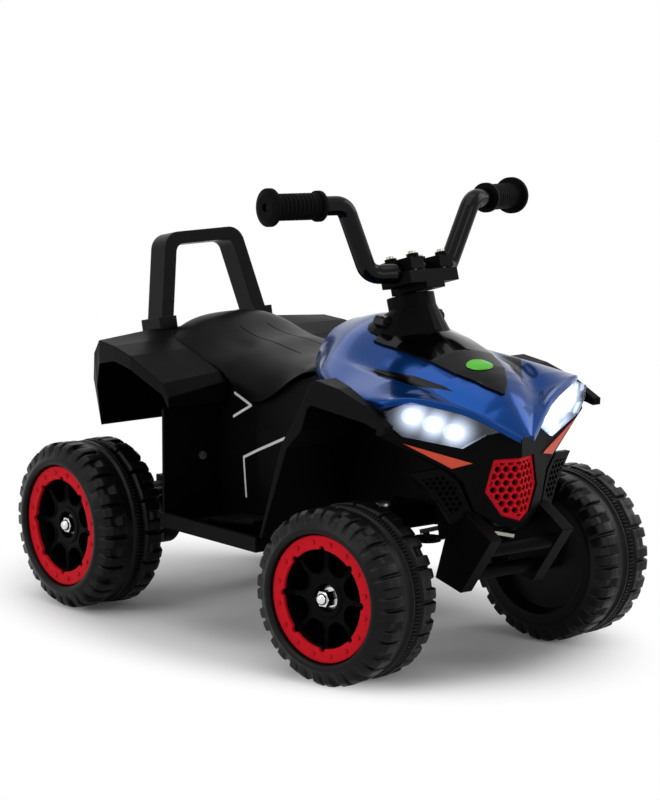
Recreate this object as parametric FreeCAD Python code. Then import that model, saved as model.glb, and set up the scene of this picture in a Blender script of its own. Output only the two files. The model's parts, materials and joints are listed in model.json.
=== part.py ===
import FreeCAD, Part
import math
import os

# Kids quad bike in millimetres: front along -Y, rider's right along -X, up along +Z.
# The front wheels and the handlebar stand turned to the left, as the toy was shown.
os.makedirs("parts", exist_ok=True)
V = FreeCAD.Vector
X = V(1, 0, 0)
Y = V(0, 1, 0)
Z = V(0, 0, 1)

# Driving sizes
wheel_diameter = 200.0
wheelbase = 490.0
track = 338.0
nose_reach = 135.0
body_half_width = 175.0
waist_height = 200.0
steer_at_rest = 12.0
overrun = 60.0
running_gap = 0.05
side_play = 0.3
loose_gap = 1.0
seat_gap = 0.02

# Wheels
tyre_width = 94.0
tyre_wall = 3.0
tread_depth = 5.0
tread_root = 12.0
shoulder_drop = 16.0
shoulder_run = 10.0
bead_radius = 80.0
sidewall_radius = 74.0
crown_radius = 96.0
crown_run = 12.0
crown_edge_drop = 1.0
shoulder_radius = 92.0
shoulder_inset = 7.0
lug_pairs = 16
lug_share = 0.28
lug_pair_share = 0.2
lug_stagger_share = 0.5
ridge_half_width = 2.0
ridge_drop = 1.4
lug_inner = 22.0
lug_centre = 5.0
ring_outer_radius = 71.5
ring_inner_radius = 56.0
ring_thickness = 4.0
ring_recess = 5.6
ring_clearance = 1.0
dish_radius = 60.0
dish_depth = 23.0
back_dish_radius = 62.0
back_dish_depth = 19.0
back_lip_radius = 66.0
hub_radius = 16.0
bush_radius = 9.0
bush_length = 20.0
bush_flange_radius = 13.0
bush_flange = 2.0
vent_slot = 6.0
ring_bolts = 16
ring_bolt_radius = 2.6
ring_bolt_height = 1.4
ring_bolt_turn_share = 0.5
ring_notches = 8
ring_notch = 4.0
spokes = 8
spoke_depth = 10.0
spoke_thickness = 4.0
spoke_tip_half = 2.2
spoke_rim_radius = 58.0
spoke_rim_width = 3.0
spoke_boss_radius = 22.0
spoke_valley_radius = 29.0
spoke_flank_radius = 43.0
spoke_flank_half = 3.2

# Axles, nuts and steering
axle_radius = 5.0
axle_collar_radius = 9.0
axle_collar = 5.0
washer_radius = 11.0
washer_thickness = 1.5
nut_radius = 9.5
nut_height = 9.0
nut_dome_radius = 7.0
front_nut_height = 14.5
kingpin_x = 105.0
kingpin_radius = 6.0
kingpin_boss_radius = 11.0
beam_rise = 62.0
beam_height = 28.0
beam_depth = 22.0
beam_block_width = 60.0
beam_block_front = 16.0
beam_block_rear = 38.0
kingpin_cap = 3.0
steer_arm = 40.0
steer_arm_rise = 26.0
steer_arm_thickness = 4.0
steer_arm_radius = 8.0
tie_pin_radius = 3.0
tie_pin_cap_radius = 5.0
tie_pin_cap = 2.0
tie_thickness = 4.7
tie_width = 8.0
tie_eye_radius = 8.0
tie_plate_half = 16.0
tie_slot_width = 9.0
tie_slot_length = 11.5
column_setback = 83.5
column_top_share = 1.52
column_radius = 8.0
column_rise = 15.0
crank_rise = 53.0
crank_thickness = 5.0
crank_boss_radius = 11.0
crank_pin_radius = 4.0
crank_pin_length = 13.0
crank_eye_radius = 7.0

# Handlebar, straight ahead
bar_radius = 11.0
bar_bend_radius = 20.0
bar_clamp_setback = 74.0
bar_clamp_share = 1.68
bar_entry_x = 43.5
bar_knee_x = 69.0
bar_knee_setback = 89.5
bar_knee_share = 1.67
bar_shoulder_x = 113.0
bar_shoulder_setback = 92.5
bar_shoulder_share = 2.07
bar_grip_x = 146.5
bar_end_x = 217.0
bar_end_setback = 115.5
bar_end_share = 2.065
grip_radius = 14.5
grip_rib_radius = 15.2
grip_ribs = 11
grip_rib_share = 0.5
grip_inner_flange_radius = 17.5
grip_outer_flange_radius = 21.5
grip_flange = 5.0
grip_cap = 3.0
clamp_width = 85.0
clamp_depth = 44.0
clamp_height = 15.0
clamp_gap = 0.8
clamp_cap_inner = 14.0
clamp_cap_outer = 37.0
clamp_screw_y = 16.5
clamp_screw_radius = 2.5
clamp_screw_head_radius = 4.5
clamp_screw_head = 3.0
clamp_boss_radius = 7.0
clamp_boss = 4.0
stem_half = 16.0
stem_rear = 32.0
stem_drop = 22.0

# Body
body_wall = 3.0
seat_wall = 4.0
hood_wall = 3.5
deck_wall = 3.5
front_box_half = 58.0
rear_box_half = 56.0
floor_share = 0.105
floor_thickness = 4.0
floor_reach = 3.0
floor_front_share = -0.21
floor_rear_share = 0.176
floor_lip = 6.0
floor_lip_rise = 13.0
floor_rib_length = 20.0
floor_rib_width = 3.0
floor_rib_height = 2.0
floor_ribs = 9
floor_rib_rear_gap = 34.0
fender_inner = 58.0
fender_top_half = 152.0
fender_foot_half = 174.0
fender_cut_share = 0.93
fender_wall = 4.0
bracket_inner = 40.0
bracket_outer = 60.0
bracket_half_depth = 17.0
bracket_drop = 12.0
hoop_base_half = 80.0
hoop_top_half = 55.0
hoop_base_share = 1.15
hoop_place_share = 0.448
hoop_height = 112.0
hoop_lean = 25.0
hoop_leg = 17.0
hoop_bar = 15.0
hoop_depth = 31.0
hoop_corner = 22.0
hoop_inner_corner = 12.0
hoop_socket = 4.0
hoop_socket_height = 14.0
panel_rise = 3.0
badge_rise = 2.0
badge_half_width = 18.0
badge_half_length = 10.0
badge_place_share = -0.583
shroud_base_half = 60.0
shroud_base_length = 78.0
shroud_place_share = -0.285
shroud_base_share = 1.26
shroud_collar_radius = 27.5
shroud_collar = 14.0
shroud_wall = 3.0
shroud_sides = 24
seat_curve = 4
curve_share = 0.0625
column_hole_radius = 12.0
switch_x = 38.0
switch_setback = 86.5
switch_share = 1.405
switch_radius = 7.0
switch_length = 18.0
switch_socket_gap = 0.5
switch_pin_radius = 1.5
switch_pin = 4.0
switch_key = 2.0
switch_key_length = 12.0
switch_key_turn = 40.0
switch_boss = 13.0
switch_cut = 6.0
fascia_depth = 12.0
grille_front = 3.0
grille_back = 9.0
grille_cell = 9.0
grille_web = 2.2
grille_rim_share = 0.86
vent_cell = 7.0
vent_web = 2.0
vent_rim_share = 0.7
lens_front = -7.0
lens_back = -3.0
led_back = 3.0
led_radius = 9.0
led_step = 22.0
led_first_share = 0.405
led_height_share = 0.905
led_rise_share = 0.45
leds = 3
housing_back = 9.0
reflector_front = -1.5
reflector_back = 4.0
vent_depth = 8.0
tusk_inner = 44.0
tusk_outer = 60.0
bumper_bar_radius = 8.0
bumper_bar_shares = (0.82, 0.245)
bumper_low_shares = (0.567, 0.08)
pedal_inset = 39.6
pedal_half_width = 22.0
pedal_hinge_gap = 56.0
pedal_hinge_rise = 7.0
pedal_barrel_radius = 4.5
pedal_pin_radius = 2.5
pedal_length = 86.0
pedal_rise = 14.0
pedal_thickness = 5.0
pedal_lug = 6.0
battery_half_width = 36.0
battery_gap = 12.0
battery_length = 70.0
battery_height = 100.0
socket_place_share = 0.087
socket_share = 0.45
socket_radius = 8.0
socket_flange_radius = 11.0
socket_proud = 4.0
socket_flange = 5.0
socket_length = 26.0
socket_bore_radius = 4.0
socket_bore_depth = 14.0
screw_head_radius = 5.0
screw_head = 2.5
screw_radius = 2.0
screw_length = 7.0
screw_inset = 34.0
screw_share = 0.5

# Gearbox
gear_module = 1.0
output_module = 1.5
pinion_teeth = 12
wheel_teeth = 36
output_teeth = 40
gear_tip_share = 0.85
gear_root_share = 1.2
gear_backlash = 0.3
pressure_angle = 20.0
flank_steps = 5
train_rise = 20.0
output_x = -112.0
output_width = 8.0
stage_x = -98.0
stage_width = 6.0
pinion_width = 8.0
output_boss_radius = 15.0
idler_pin_radius = 4.0
motor_shaft_radius = 2.0
motor_shaft_end = -68.0
motor_shaft_grip = 18.0
motor_radius = 14.0
motor_length = 46.0
case_outer_x = -118.0
case_wall = 3.0
case_margin = 3.5

# Outlines of the body: x in half body widths, y in wheelbases from the middle,
# z in waist heights over the axles
hood_shares = (
    (-0.135, ((0, 1.36), (0.20, 1.315), (0.31, 1.23), (0.35, 1.17), (0.365, 1.13), (0.365, 1.07))),
    (-0.26, ((0, 1.42), (0.26, 1.35), (0.44, 1.25), (0.54, 1.19), (0.60, 1.13), (0.60, 1.04))),
    (-0.405, ((0, 1.36), (0.285, 1.29), (0.49, 1.20), (0.59, 1.18), (0.73, 1.10), (0.73, 1.01))),
    (-0.52, ((0, 1.27), (0.26, 1.225), (0.46, 1.145), (0.58, 1.165), (0.79, 1.10), (0.80, 1.02))),
    (-0.59, ((0, 1.20), (0.23, 1.165), (0.40, 1.10), (0.53, 1.13), (0.78, 1.10), (0.80, 1.05))),
    (-0.635, ((0, 1.135), (0.20, 1.105), (0.335, 1.05), (0.44, 1.075), (0.655, 1.11), (0.66, 1.07))),
    (-0.69, ((0, 1.03), (0.11, 1.015), (0.20, 0.985), (0.26, 1.0), (0.355, 1.04), (0.36, 1.0))),
    (-0.755, ((0, 0.88), (0.02, 0.88), (0.035, 0.875), (0.045, 0.875), (0.055, 0.875), (0.055, 0.84))))
seat_shares = (
    (0.434, ((0, 1.18), (0.26, 1.16), (0.40, 1.11), (0.47, 1.06))),
    (0.407, ((0, 1.23), (0.285, 1.205), (0.435, 1.14), (0.505, 1.075))),
    (0.30, ((0, 1.195), (0.30, 1.17), (0.455, 1.11), (0.525, 1.05))),
    (0.148, ((0, 1.14), (0.31, 1.115), (0.47, 1.05), (0.535, 0.97))),
    (0.034, ((0, 1.11), (0.31, 1.085), (0.47, 1.01), (0.54, 0.85))),
    (-0.05, ((0, 1.11), (0.275, 1.09), (0.42, 1.03), (0.50, 0.94))),
    (-0.135, ((0, 1.125), (0.23, 1.11), (0.33, 1.09), (0.375, 1.065))))
deck_shares = (
    (0.145, ((0, 0.99), (0.50, 0.94), (1.0, 0.88), (1.0, 0.81))),
    (0.17, ((0, 1.04), (0.515, 0.99), (1.0, 0.955), (1.0, 0.885))),
    (0.305, ((0, 1.10), (0.54, 1.08), (1.0, 1.075), (1.0, 0.995))),
    (0.38, ((0, 1.135), (0.54, 1.12), (0.985, 1.11), (0.985, 1.02))),
    (0.455, ((0, 1.15), (0.54, 1.15), (0.965, 1.12), (0.965, 0.98))),
    (0.49, ((0, 1.11), (0.52, 1.10), (0.94, 1.03), (0.92, 0.82))),
    (0.525, ((0, 1.0), (0.49, 0.98), (0.88, 0.86), (0.82, 0.57))))
cabin_shares = ((0.203, ((0.49, 0.96), (0.525, 0.575), (0.505, 0.105))),
                (0.007, ((0.48, 0.92), (0.56, 0.68), (0.515, 0.105))),
                (-0.18, ((0.375, 1.08), (0.525, 0.81), (0.505, 0.105))))
front_box_shares = ((-0.16, 0.24), (-0.405, 0.24), (-0.415, 0.45), (-0.57, 0.45), (-0.585, 0.26),
                    (-0.64, 0.30), (-0.69, 0.36), (-0.735, 0.75), (-0.69, 0.86), (-0.405, 0.98), (-0.16, 1.08))
rear_box_shares = ((0.168, 0.20), (0.515, 0.20), (0.515, 0.90), (0.455, 1.20), (0.168, 1.20))
rear_wall_shares = ((0.30, 0.105), (0.995, 0.105), (0.995, 0.80), (0.50, 0.96), (0.30, 0.96))
arch_shares = ((-0.20, 0.11), (-0.28, 0.74), (-0.33, 0.86), (-0.345, 0.99), (-0.36, 1.015), (-0.56, 0.985),
               (-0.64, 0.95))
fender_top_shares = ((-0.265, 0.75), (-0.32, 0.95), (-0.345, 1.10), (-0.37, 1.14), (-0.455, 1.12),
                     (-0.555, 1.06), (-0.64, 0.97))
plan_shares = ((0, -0.735), (0.345, -0.675), (0.83, -0.60))
fascia_shares = ((0, 0.86), (0.13, 0.90), (0.23, 0.885), (0.37, 0.815), (0.72, 0.895), (0.81, 0.965),
                 (0.83, 0.90), (0.73, 0.85), (0.40, 0.67), (0.345, 0.625), (0.275, 0.45), (0.115, 0.36), (0, 0.35))
grille_shares = ((0, 0.745), (0.165, 0.74), (0.215, 0.56), (0.115, 0.42), (0, 0.385))
grille_centre_shares = (0, 0.565)
lens_shares = ((0.81, 0.965), (0.83, 1.04), (0.675, 1.085), (0.445, 1.025), (0.275, 0.975), (0.13, 0.90),
               (0.23, 0.885), (0.37, 0.815), (0.72, 0.895))
reflector_shares = ((0.71, 0.855), (0.29, 0.725), (0.415, 0.70))
vent_shares = ((0.67, 0.68), (0.48, 0.70), (0.37, 0.62), (0.29, 0.45), (0.40, 0.385), (0.50, 0.53))
vent_centre_shares = (0.44, 0.56)
tusk_shares = ((0.67, 0.45), (1, 0.325), (0.61, -0.01), (0.28, 0.04), (0.39, 0.25), (0.50, 0.425))
panel_shares = ((0.335, -0.34), (0.33, -0.37), (0.28, -0.48), (0.20, -0.587), (0.087, -0.646), (0, -0.67))

axle_z = wheel_diameter / 2
overall_length = nose_reach + wheelbase + wheel_diameter / 2
rear_axle_y = overall_length / 2 - wheel_diameter / 2
front_axle_y = rear_axle_y - wheelbase
middle_y = (front_axle_y + rear_axle_y) / 2


def across(share):
    return body_half_width * share


def along(share):
    """Place along the wheelbase, half a wheelbase before and behind its middle at the axles."""
    return middle_y + wheelbase * share


def above(share):
    """Height in waist heights over the axles."""
    return axle_z + waist_height * share


beam_bottom = axle_z + beam_rise
steer_arm_bottom = axle_z + steer_arm_rise
crank_level = axle_z + crank_rise
column_top_y = front_axle_y + column_setback
column_top_z = above(column_top_share)
bar_clamp_y = front_axle_y + bar_clamp_setback
bar_clamp_z = above(bar_clamp_share)
tie_level = steer_arm_bottom + steer_arm_thickness + side_play
column_rake = math.atan2(column_top_y - front_axle_y, column_top_z - tie_level)
column_up = V(0, math.sin(column_rake), math.cos(column_rake))
column_back = V(0, math.cos(column_rake), -math.sin(column_rake))
column_foot = V(0, front_axle_y, tie_level)
half_track = track / 2
half_tyre = tyre_width / 2
dish_x = half_tyre - dish_depth
ring_x = half_tyre - ring_recess - ring_thickness
lug_turn = 2 * math.pi / lug_pairs * (lug_pair_share - lug_share / 2)
lug_top = wheel_diameter / 2 / math.cos(lug_turn)


def save(node, shape):
    shape.exportStep("parts/" + node + ".step")


def box(x0, x1, y0, y1, z0, z1):
    return Part.makeBox(x1 - x0, y1 - y0, z1 - z0, V(x0, y0, z0))


def rod(radius, start, direction, length):
    return Part.makeCylinder(radius, length, start, direction)


def tube(outer, inner, start, direction, length):
    shell = rod(outer, start, direction, length)
    return shell.cut(rod(inner, start - direction * overrun, direction, length + overrun * 2))


def join(pieces):
    return pieces[0].multiFuse(pieces[1:]).removeSplitter()


def main_solid(shape):
    return max(shape.Solids, key=lambda solid: solid.Volume)


def face_of(points):
    return Part.Face(Part.makePolygon(list(points) + [points[0]]))


def mirrored(shape):
    return shape.mirror(V(0, 0, 0), X)


def turned(shape, centre, axis, angle):
    copy = shape.copy()
    copy.rotate(centre, axis, angle)
    return copy


def moved(shape, offset):
    copy = shape.copy()
    copy.translate(offset)
    return copy


def around(shape, count, axis, start_share=0):
    return [turned(shape, V(0, 0, 0), axis, (k + start_share) * 360 / count) for k in range(count)]


def side_points(shares):
    return [(along(y), above(z)) for y, z in shares]


def front_points(shares):
    return [(across(x), above(z)) for x, z in shares]


def plan_points(shares):
    return [(across(x), along(y)) for x, y in shares]


def side_prism(shares, x0, x1):
    """Side-view outline of (y, z) shares, drawn from x0 to x1."""
    face = face_of([V(x0, y, z) for y, z in side_points(shares)])
    return face.extrude(V(x1 - x0, 0, 0))


def front_prism(shares):
    """Front-view outline of (x, z) shares, drawn through the whole length."""
    face = face_of([V(x, -overall_length, z) for x, z in front_points(shares)])
    return face.extrude(V(0, overall_length * 2, 0))


def ring_of(points):
    """Solid of revolution about X of an (x, radius) outline."""
    return face_of([V(x, 0, r) for x, r in points]).revolve(V(0, 0, 0), X, 360)


def hex_prism(radius, x0, x1):
    corners = [(math.cos(k * math.pi / 3), math.sin(k * math.pi / 3)) for k in range(6)]
    return face_of([V(x0, radius * c, radius * s) for c, s in corners]).extrude(V(x1 - x0, 0, 0))


# Wheel pieces, drawn about X with the outer side at +X
def lug_band(x0, x1, stagger_share):
    """Ring of paired lugs between two planes."""
    step = 2 * math.pi / lug_pairs
    half = step * lug_share / 2
    root = wheel_diameter / 2 - tread_root
    points = []
    for k in range(lug_pairs):
        for pair_share in (-lug_pair_share, lug_pair_share):
            middle = (k + stagger_share + pair_share) * step - math.pi / 2
            for radius, turn in ((root, -half), (lug_top, -half), (lug_top, half), (root, half)):
                points.append(V(x0, radius * math.cos(middle + turn), radius * math.sin(middle + turn)))
    band = face_of(points).extrude(V(x1 - x0, 0, 0))
    return band.cut(rod(bead_radius + tread_depth, V(x0 - overrun, 0, 0), X,
                        x1 - x0 + overrun * 2))


def make_tyre():
    bore = bush_radius + seat_gap
    hub_out = dish_x - bush_flange
    outer = [(hub_out, bore), (hub_out, hub_radius), (dish_x, hub_radius), (dish_x, dish_radius)]
    outer += [(ring_x, dish_radius + bush_flange), (ring_x, ring_outer_radius + ring_clearance)]
    outer += [(half_tyre, sidewall_radius), (half_tyre, bead_radius)]
    side = [(half_tyre - shoulder_inset, shoulder_radius)]
    side += [(half_tyre - crown_run, crown_radius - crown_edge_drop)]
    outer += side + [(0, crown_radius)] + [(-x, r) for x, r in reversed(side)]
    outer += [(-half_tyre, bead_radius), (-half_tyre, back_lip_radius)]
    outer += [(back_dish_depth - half_tyre, back_dish_radius), (back_dish_depth - half_tyre, hub_radius)]
    outer += [(-half_tyre, hub_radius), (-half_tyre, bore)]
    profile = face_of([V(x, 0, r) for x, r in outer])
    wide = wheel_diameter
    low = hub_radius + tyre_wall
    below = face_of([V(-wide, 0, 0), V(wide, 0, 0), V(wide, 0, low), V(-wide, 0, low)])
    hollow = profile.makeOffset2D(-tyre_wall).cut(below).revolve(V(0, 0, 0), X, 360)
    limit = [(-half_tyre, bead_radius), (-half_tyre, lug_top - shoulder_drop)]
    limit += [(shoulder_run - half_tyre, lug_top)]
    limit += [(-x, r) for x, r in reversed(limit)]
    bands = [lug_band(lug_inner, half_tyre, 0), lug_band(lug_centre, lug_inner, lug_stagger_share)]
    bands += [lug_band(-half_tyre, -lug_inner, 0), lug_band(-lug_inner, -lug_centre, lug_stagger_share)]
    envelope = ring_of(limit)
    carcass = profile.revolve(V(0, 0, 0), X, 360)
    ridge = tube(wheel_diameter / 2 - ridge_drop, bead_radius + tread_depth, V(-ridge_half_width, 0, 0), X,
                 ridge_half_width * 2)
    tyre = join([carcass, ridge] + [band.common(envelope) for band in bands]).cut(hollow)
    slot = box(-vent_slot, vent_slot, -vent_slot / 2, vent_slot / 2, 0, hub_radius + tyre_wall * 2)
    return main_solid(tyre.cut(slot))


def make_ring():
    ring = tube(ring_outer_radius, ring_inner_radius, V(ring_x, 0, 0), X, ring_thickness)
    notch = rod(ring_notch, V(ring_x - overrun, 0, ring_inner_radius), X, overrun * 2)
    ring = ring.cut(Part.makeCompound(around(notch, ring_notches, X)))
    middle = (ring_outer_radius + ring_inner_radius) / 2
    bolt = hex_prism(ring_bolt_radius, ring_x, ring_x + ring_thickness + ring_bolt_height)
    bolts = around(moved(bolt, V(0, 0, middle)), ring_bolts, X, ring_bolt_turn_share)
    return join([ring] + bolts)


def make_spokes():
    """Star plate with hollow arcs between its points, on a rim and a hub boss."""
    rim = tube(spoke_rim_radius, spoke_rim_radius - spoke_rim_width, V(dish_x, 0, 0), X, spoke_depth)
    boss = tube(spoke_boss_radius, hub_radius, V(dish_x, 0, 0), X, spoke_depth)
    plate_x = dish_x + spoke_depth - spoke_thickness
    step = 2 * math.pi / spokes
    tip_radius = spoke_rim_radius - spoke_rim_width / 2
    tip_turn = spoke_tip_half / tip_radius

    def at(radius, turn):
        return V(plate_x, radius * math.sin(turn), radius * math.cos(turn))

    half = [(tip_radius, tip_turn), (spoke_flank_radius, spoke_flank_half / spoke_flank_radius)]
    edges = []
    for k in range(spokes):
        start = k * step
        hollow = [at(radius, start + turn) for radius, turn in half]
        hollow += [at(spoke_valley_radius, start + step / 2)]
        hollow += [at(radius, start + step - turn) for radius, turn in reversed(half)]
        curve = Part.BSplineCurve()
        curve.interpolate(hollow)
        edges += [Part.makeLine(at(tip_radius, start - tip_turn), hollow[0]), curve.toShape()]
    star = Part.Face(Part.Wire(edges)).extrude(V(spoke_thickness, 0, 0))
    star = star.cut(rod(hub_radius, V(0, 0, 0), X, half_tyre))
    return join([rim, boss, star])


def make_bushes():
    hub_out = dish_x - bush_flange
    outer = join([rod(bush_radius, V(hub_out - bush_length, 0, 0), X, bush_length),
                  rod(bush_flange_radius, V(hub_out, 0, 0), X, bush_flange)])
    inner = join([rod(bush_radius, V(-half_tyre, 0, 0), X, bush_length),
                  rod(bush_flange_radius, V(-half_tyre - bush_flange, 0, 0), X, bush_flange)])
    hole = rod(axle_radius + running_gap, V(-wheel_diameter, 0, 0), X, wheel_diameter * 2)
    return Part.makeCompound([outer.cut(hole), inner.cut(hole)])


def make_nut(height):
    """Washer, hex cap nut and dome on the axle end, from the bush face outward."""
    start = dish_x + side_play
    washer = tube(washer_radius, axle_radius, V(start, 0, 0), X, washer_thickness)
    foot = start + washer_thickness
    cap = hex_prism(nut_radius, foot, foot + height)
    dome = Part.makeSphere(nut_dome_radius, V(foot + height, 0, 0))
    cap = cap.fuse(dome).cut(rod(axle_radius, V(0, 0, 0), X, foot + height))
    return Part.makeCompound([washer, main_solid(cap)])


wheel_pieces = {"tyre": make_tyre(), "trim_ring": make_ring(), "spoke_cover": make_spokes(),
                "wheel_bushes": make_bushes()}


# Places of the body pieces
floor_bottom = above(floor_share)
floor_top = floor_bottom + floor_thickness
floor_inner = across(cabin_shares[0][1][-1][0]) - body_wall
floor_outer = body_half_width + floor_reach
floor_front = along(floor_front_share)
floor_rear = along(floor_rear_share)
floor_lip_top = floor_top + floor_lip_rise
bracket_bottom = axle_z - bracket_drop
hoop_base_y = along(hoop_place_share)
hoop_base_z = above(hoop_base_share)
shroud_base_y = along(shroud_place_share)
shroud_base_z = above(shroud_base_share)
switch_y = front_axle_y + switch_setback
switch_z = above(switch_share)
bumper_bar_y = front_axle_y - nose_reach * bumper_bar_shares[0]
bumper_bar_z = above(bumper_bar_shares[1])
bumper_low_y = front_axle_y - nose_reach * bumper_low_shares[0]
bumper_low_z = above(bumper_low_shares[1])
pedal_x = -floor_inner - pedal_inset
pedal_hinge_y = floor_rear - pedal_hinge_gap
pedal_hinge_z = floor_top + pedal_hinge_rise
pedal_front_y = pedal_hinge_y - pedal_length
pedal_front_z = pedal_hinge_z + pedal_rise
battery_rear = floor_rear - battery_gap
socket_y = along(socket_place_share)
socket_z = above(socket_share)
socket_face_x = across(cabin_shares[1][1][1][0]) + socket_proud - body_wall


def in_place(shape, side, axle_y):
    piece = shape if side > 0 else mirrored(shape)
    return moved(piece, V(side * half_track, axle_y, axle_z))


def knuckled(shape, side):
    """Turned with the front wheel of that side to the angle at rest."""
    return turned(shape, V(side * kingpin_x, front_axle_y, 0), Z, steer_at_rest)


sides = ((-1, "right"), (1, "left"))
rear_nut_solids = []
for side, name in sides:
    for piece, shape in wheel_pieces.items():
        save(piece + "_front_" + name, knuckled(in_place(shape, side, front_axle_y), side))
        save(piece + "_rear_" + name, in_place(shape, side, rear_axle_y))
    save("hub_nut_front_" + name, knuckled(in_place(make_nut(front_nut_height), side, front_axle_y), side))
    rear_nut_solids.append(in_place(make_nut(nut_height), side, rear_axle_y))
save("hub_nuts_rear", Part.makeCompound(rear_nut_solids))

# Front axle beam, knuckles and tie rod
beam_top = beam_bottom + beam_height
wheel_stop = half_track - half_tyre - bush_flange - side_play


def make_knuckle():
    king = V(kingpin_x, front_axle_y, axle_z)
    reach = half_track - kingpin_x + dish_x + side_play + washer_thickness + front_nut_height
    pin = rod(kingpin_radius, king, Z, beam_top + side_play + kingpin_cap - axle_z)
    stub = rod(axle_radius, king, X, reach)
    elbow = rod(kingpin_radius + tie_pin_cap, king - Z * kingpin_radius, Z, kingpin_radius * 2)
    stop = V(wheel_stop - axle_collar, front_axle_y, axle_z)
    collar = rod(axle_collar_radius, stop, X, axle_collar)
    shelf = V(kingpin_x, front_axle_y, beam_bottom - side_play - axle_collar)
    shoulder = rod(axle_collar_radius, shelf, Z, axle_collar)
    cap = rod(axle_collar_radius, V(kingpin_x, front_axle_y, beam_top + side_play), Z, kingpin_cap)
    arm = box(kingpin_x - steer_arm_radius, kingpin_x + steer_arm_radius, front_axle_y,
              front_axle_y + steer_arm, steer_arm_bottom, steer_arm_bottom + steer_arm_thickness)
    eye = V(kingpin_x, front_axle_y + steer_arm, steer_arm_bottom)
    tip = rod(steer_arm_radius, eye, Z, steer_arm_thickness)
    pin_top = tie_level + tie_thickness + side_play
    tie_pin = rod(tie_pin_radius, eye, Z, pin_top - steer_arm_bottom)
    tie_cap = rod(tie_pin_cap_radius, V(eye.x, eye.y, pin_top), Z, tie_pin_cap)
    return join([pin, stub, elbow, collar, shoulder, cap, arm, tip, tie_pin, tie_cap])


knuckle = make_knuckle()
save("knuckle_left", knuckled(knuckle, 1))
save("knuckle_right", knuckled(mirrored(knuckle), -1))

beam = box(-kingpin_x, kingpin_x, front_axle_y - beam_depth / 2, front_axle_y + beam_depth / 2,
           beam_bottom, beam_top)
block = box(-beam_block_width / 2, beam_block_width / 2, front_axle_y - beam_block_front,
            front_axle_y + beam_block_rear, beam_bottom, beam_top)
bosses = [rod(kingpin_boss_radius, V(side * kingpin_x, front_axle_y, beam_bottom), Z, beam_height)
          for side, name in sides]
beam = join([beam, block] + bosses)
for side, name in sides:
    king = V(side * kingpin_x, front_axle_y, 0)
    beam = beam.cut(rod(kingpin_radius + running_gap, king, Z, beam_top + overrun))
column_bore = rod(column_radius + running_gap, column_foot, column_up, beam_top + overrun)
front_beam = beam.cut(column_bore)
save("front_axle_beam", front_beam)

pin_rise = (tie_thickness / 2 + steer_arm * math.sin(column_rake)) / math.cos(column_rake)
slot_y = front_axle_y + steer_arm * math.cos(column_rake) + pin_rise * math.sin(column_rake)
tie_y = front_axle_y + steer_arm
tie = box(-kingpin_x, kingpin_x, tie_y - tie_width / 2, tie_y + tie_width / 2,
          tie_level, tie_level + tie_thickness)
plate = rod(tie_plate_half, V(0, slot_y, tie_level), Z, tie_thickness)
eyes = [rod(tie_eye_radius, V(side * kingpin_x, tie_y, tie_level), Z, tie_thickness) for side, name in sides]
tie = join([tie, plate] + eyes)
for side, name in sides:
    hole = V(side * kingpin_x, tie_y, 0)
    tie = tie.cut(rod(tie_pin_radius + running_gap, hole, Z, axle_z + overrun))
slot = box(-tie_slot_width / 2, tie_slot_width / 2, slot_y - tie_slot_length / 2,
           slot_y + tie_slot_length / 2, 0, axle_z + overrun)
swing = math.radians(steer_at_rest)
tie_shift = V(-steer_arm * math.sin(swing), steer_arm * math.cos(swing) - steer_arm, 0)
save("tie_rod", moved(tie.cut(slot), tie_shift))


# Steering column and handlebar, drawn about the raked column and turned to the angle at rest
def raked(shape, origin):
    copy = shape.copy()
    copy.rotate(V(0, 0, 0), X, -math.degrees(column_rake))
    copy.translate(origin)
    return copy


def steered(shape):
    return turned(shape, column_foot, column_up, steer_at_rest)


bar_centre = V(0, bar_clamp_y, bar_clamp_z)
bar_offset = bar_centre - column_foot
bar_back = bar_offset.dot(column_back)
bar_height = bar_offset.dot(column_up)
crank_z = (crank_level - tie_level) / math.cos(column_rake)
crank_foot = crank_z - crank_thickness / 2
column_length = bar_height - stem_drop + column_rise - crank_foot
shaft = rod(column_radius, V(0, 0, crank_foot), Z, column_length)
crank_boss = rod(crank_boss_radius, V(0, 0, crank_foot), Z, crank_thickness)
crank_eye = rod(crank_eye_radius, V(0, steer_arm, crank_foot), Z, crank_thickness)
crank_bar = box(-crank_eye_radius, crank_eye_radius, 0, steer_arm, crank_foot, crank_foot + crank_thickness)
crank_pin = rod(crank_pin_radius, V(0, steer_arm, crank_z - crank_pin_length), Z, crank_pin_length)
column = raked(join([shaft, crank_boss, crank_eye, crank_bar, crank_pin]), column_foot)
save("steering_column", steered(column))


def bent_path(points, radius):
    """Straight runs through the points with round bends between them."""
    edges = []
    start = points[0]
    for before, corner, after in zip(points, points[1:], points[2:]):
        into = (corner - before).normalize()
        out = (after - corner).normalize()
        bend = into.getAngle(out)
        reach = radius * math.tan(bend / 2)
        first = corner - into * reach
        last = corner + out * reach
        inward = (out - into).normalize()
        middle = corner + inward * (radius / math.cos(bend / 2) - radius)
        edges.append(Part.makeLine(start, first))
        edges.append(Part.Arc(first, middle, last).toShape())
        start = last
    edges.append(Part.makeLine(start, points[-1]))
    return Part.Wire(edges)


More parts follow.
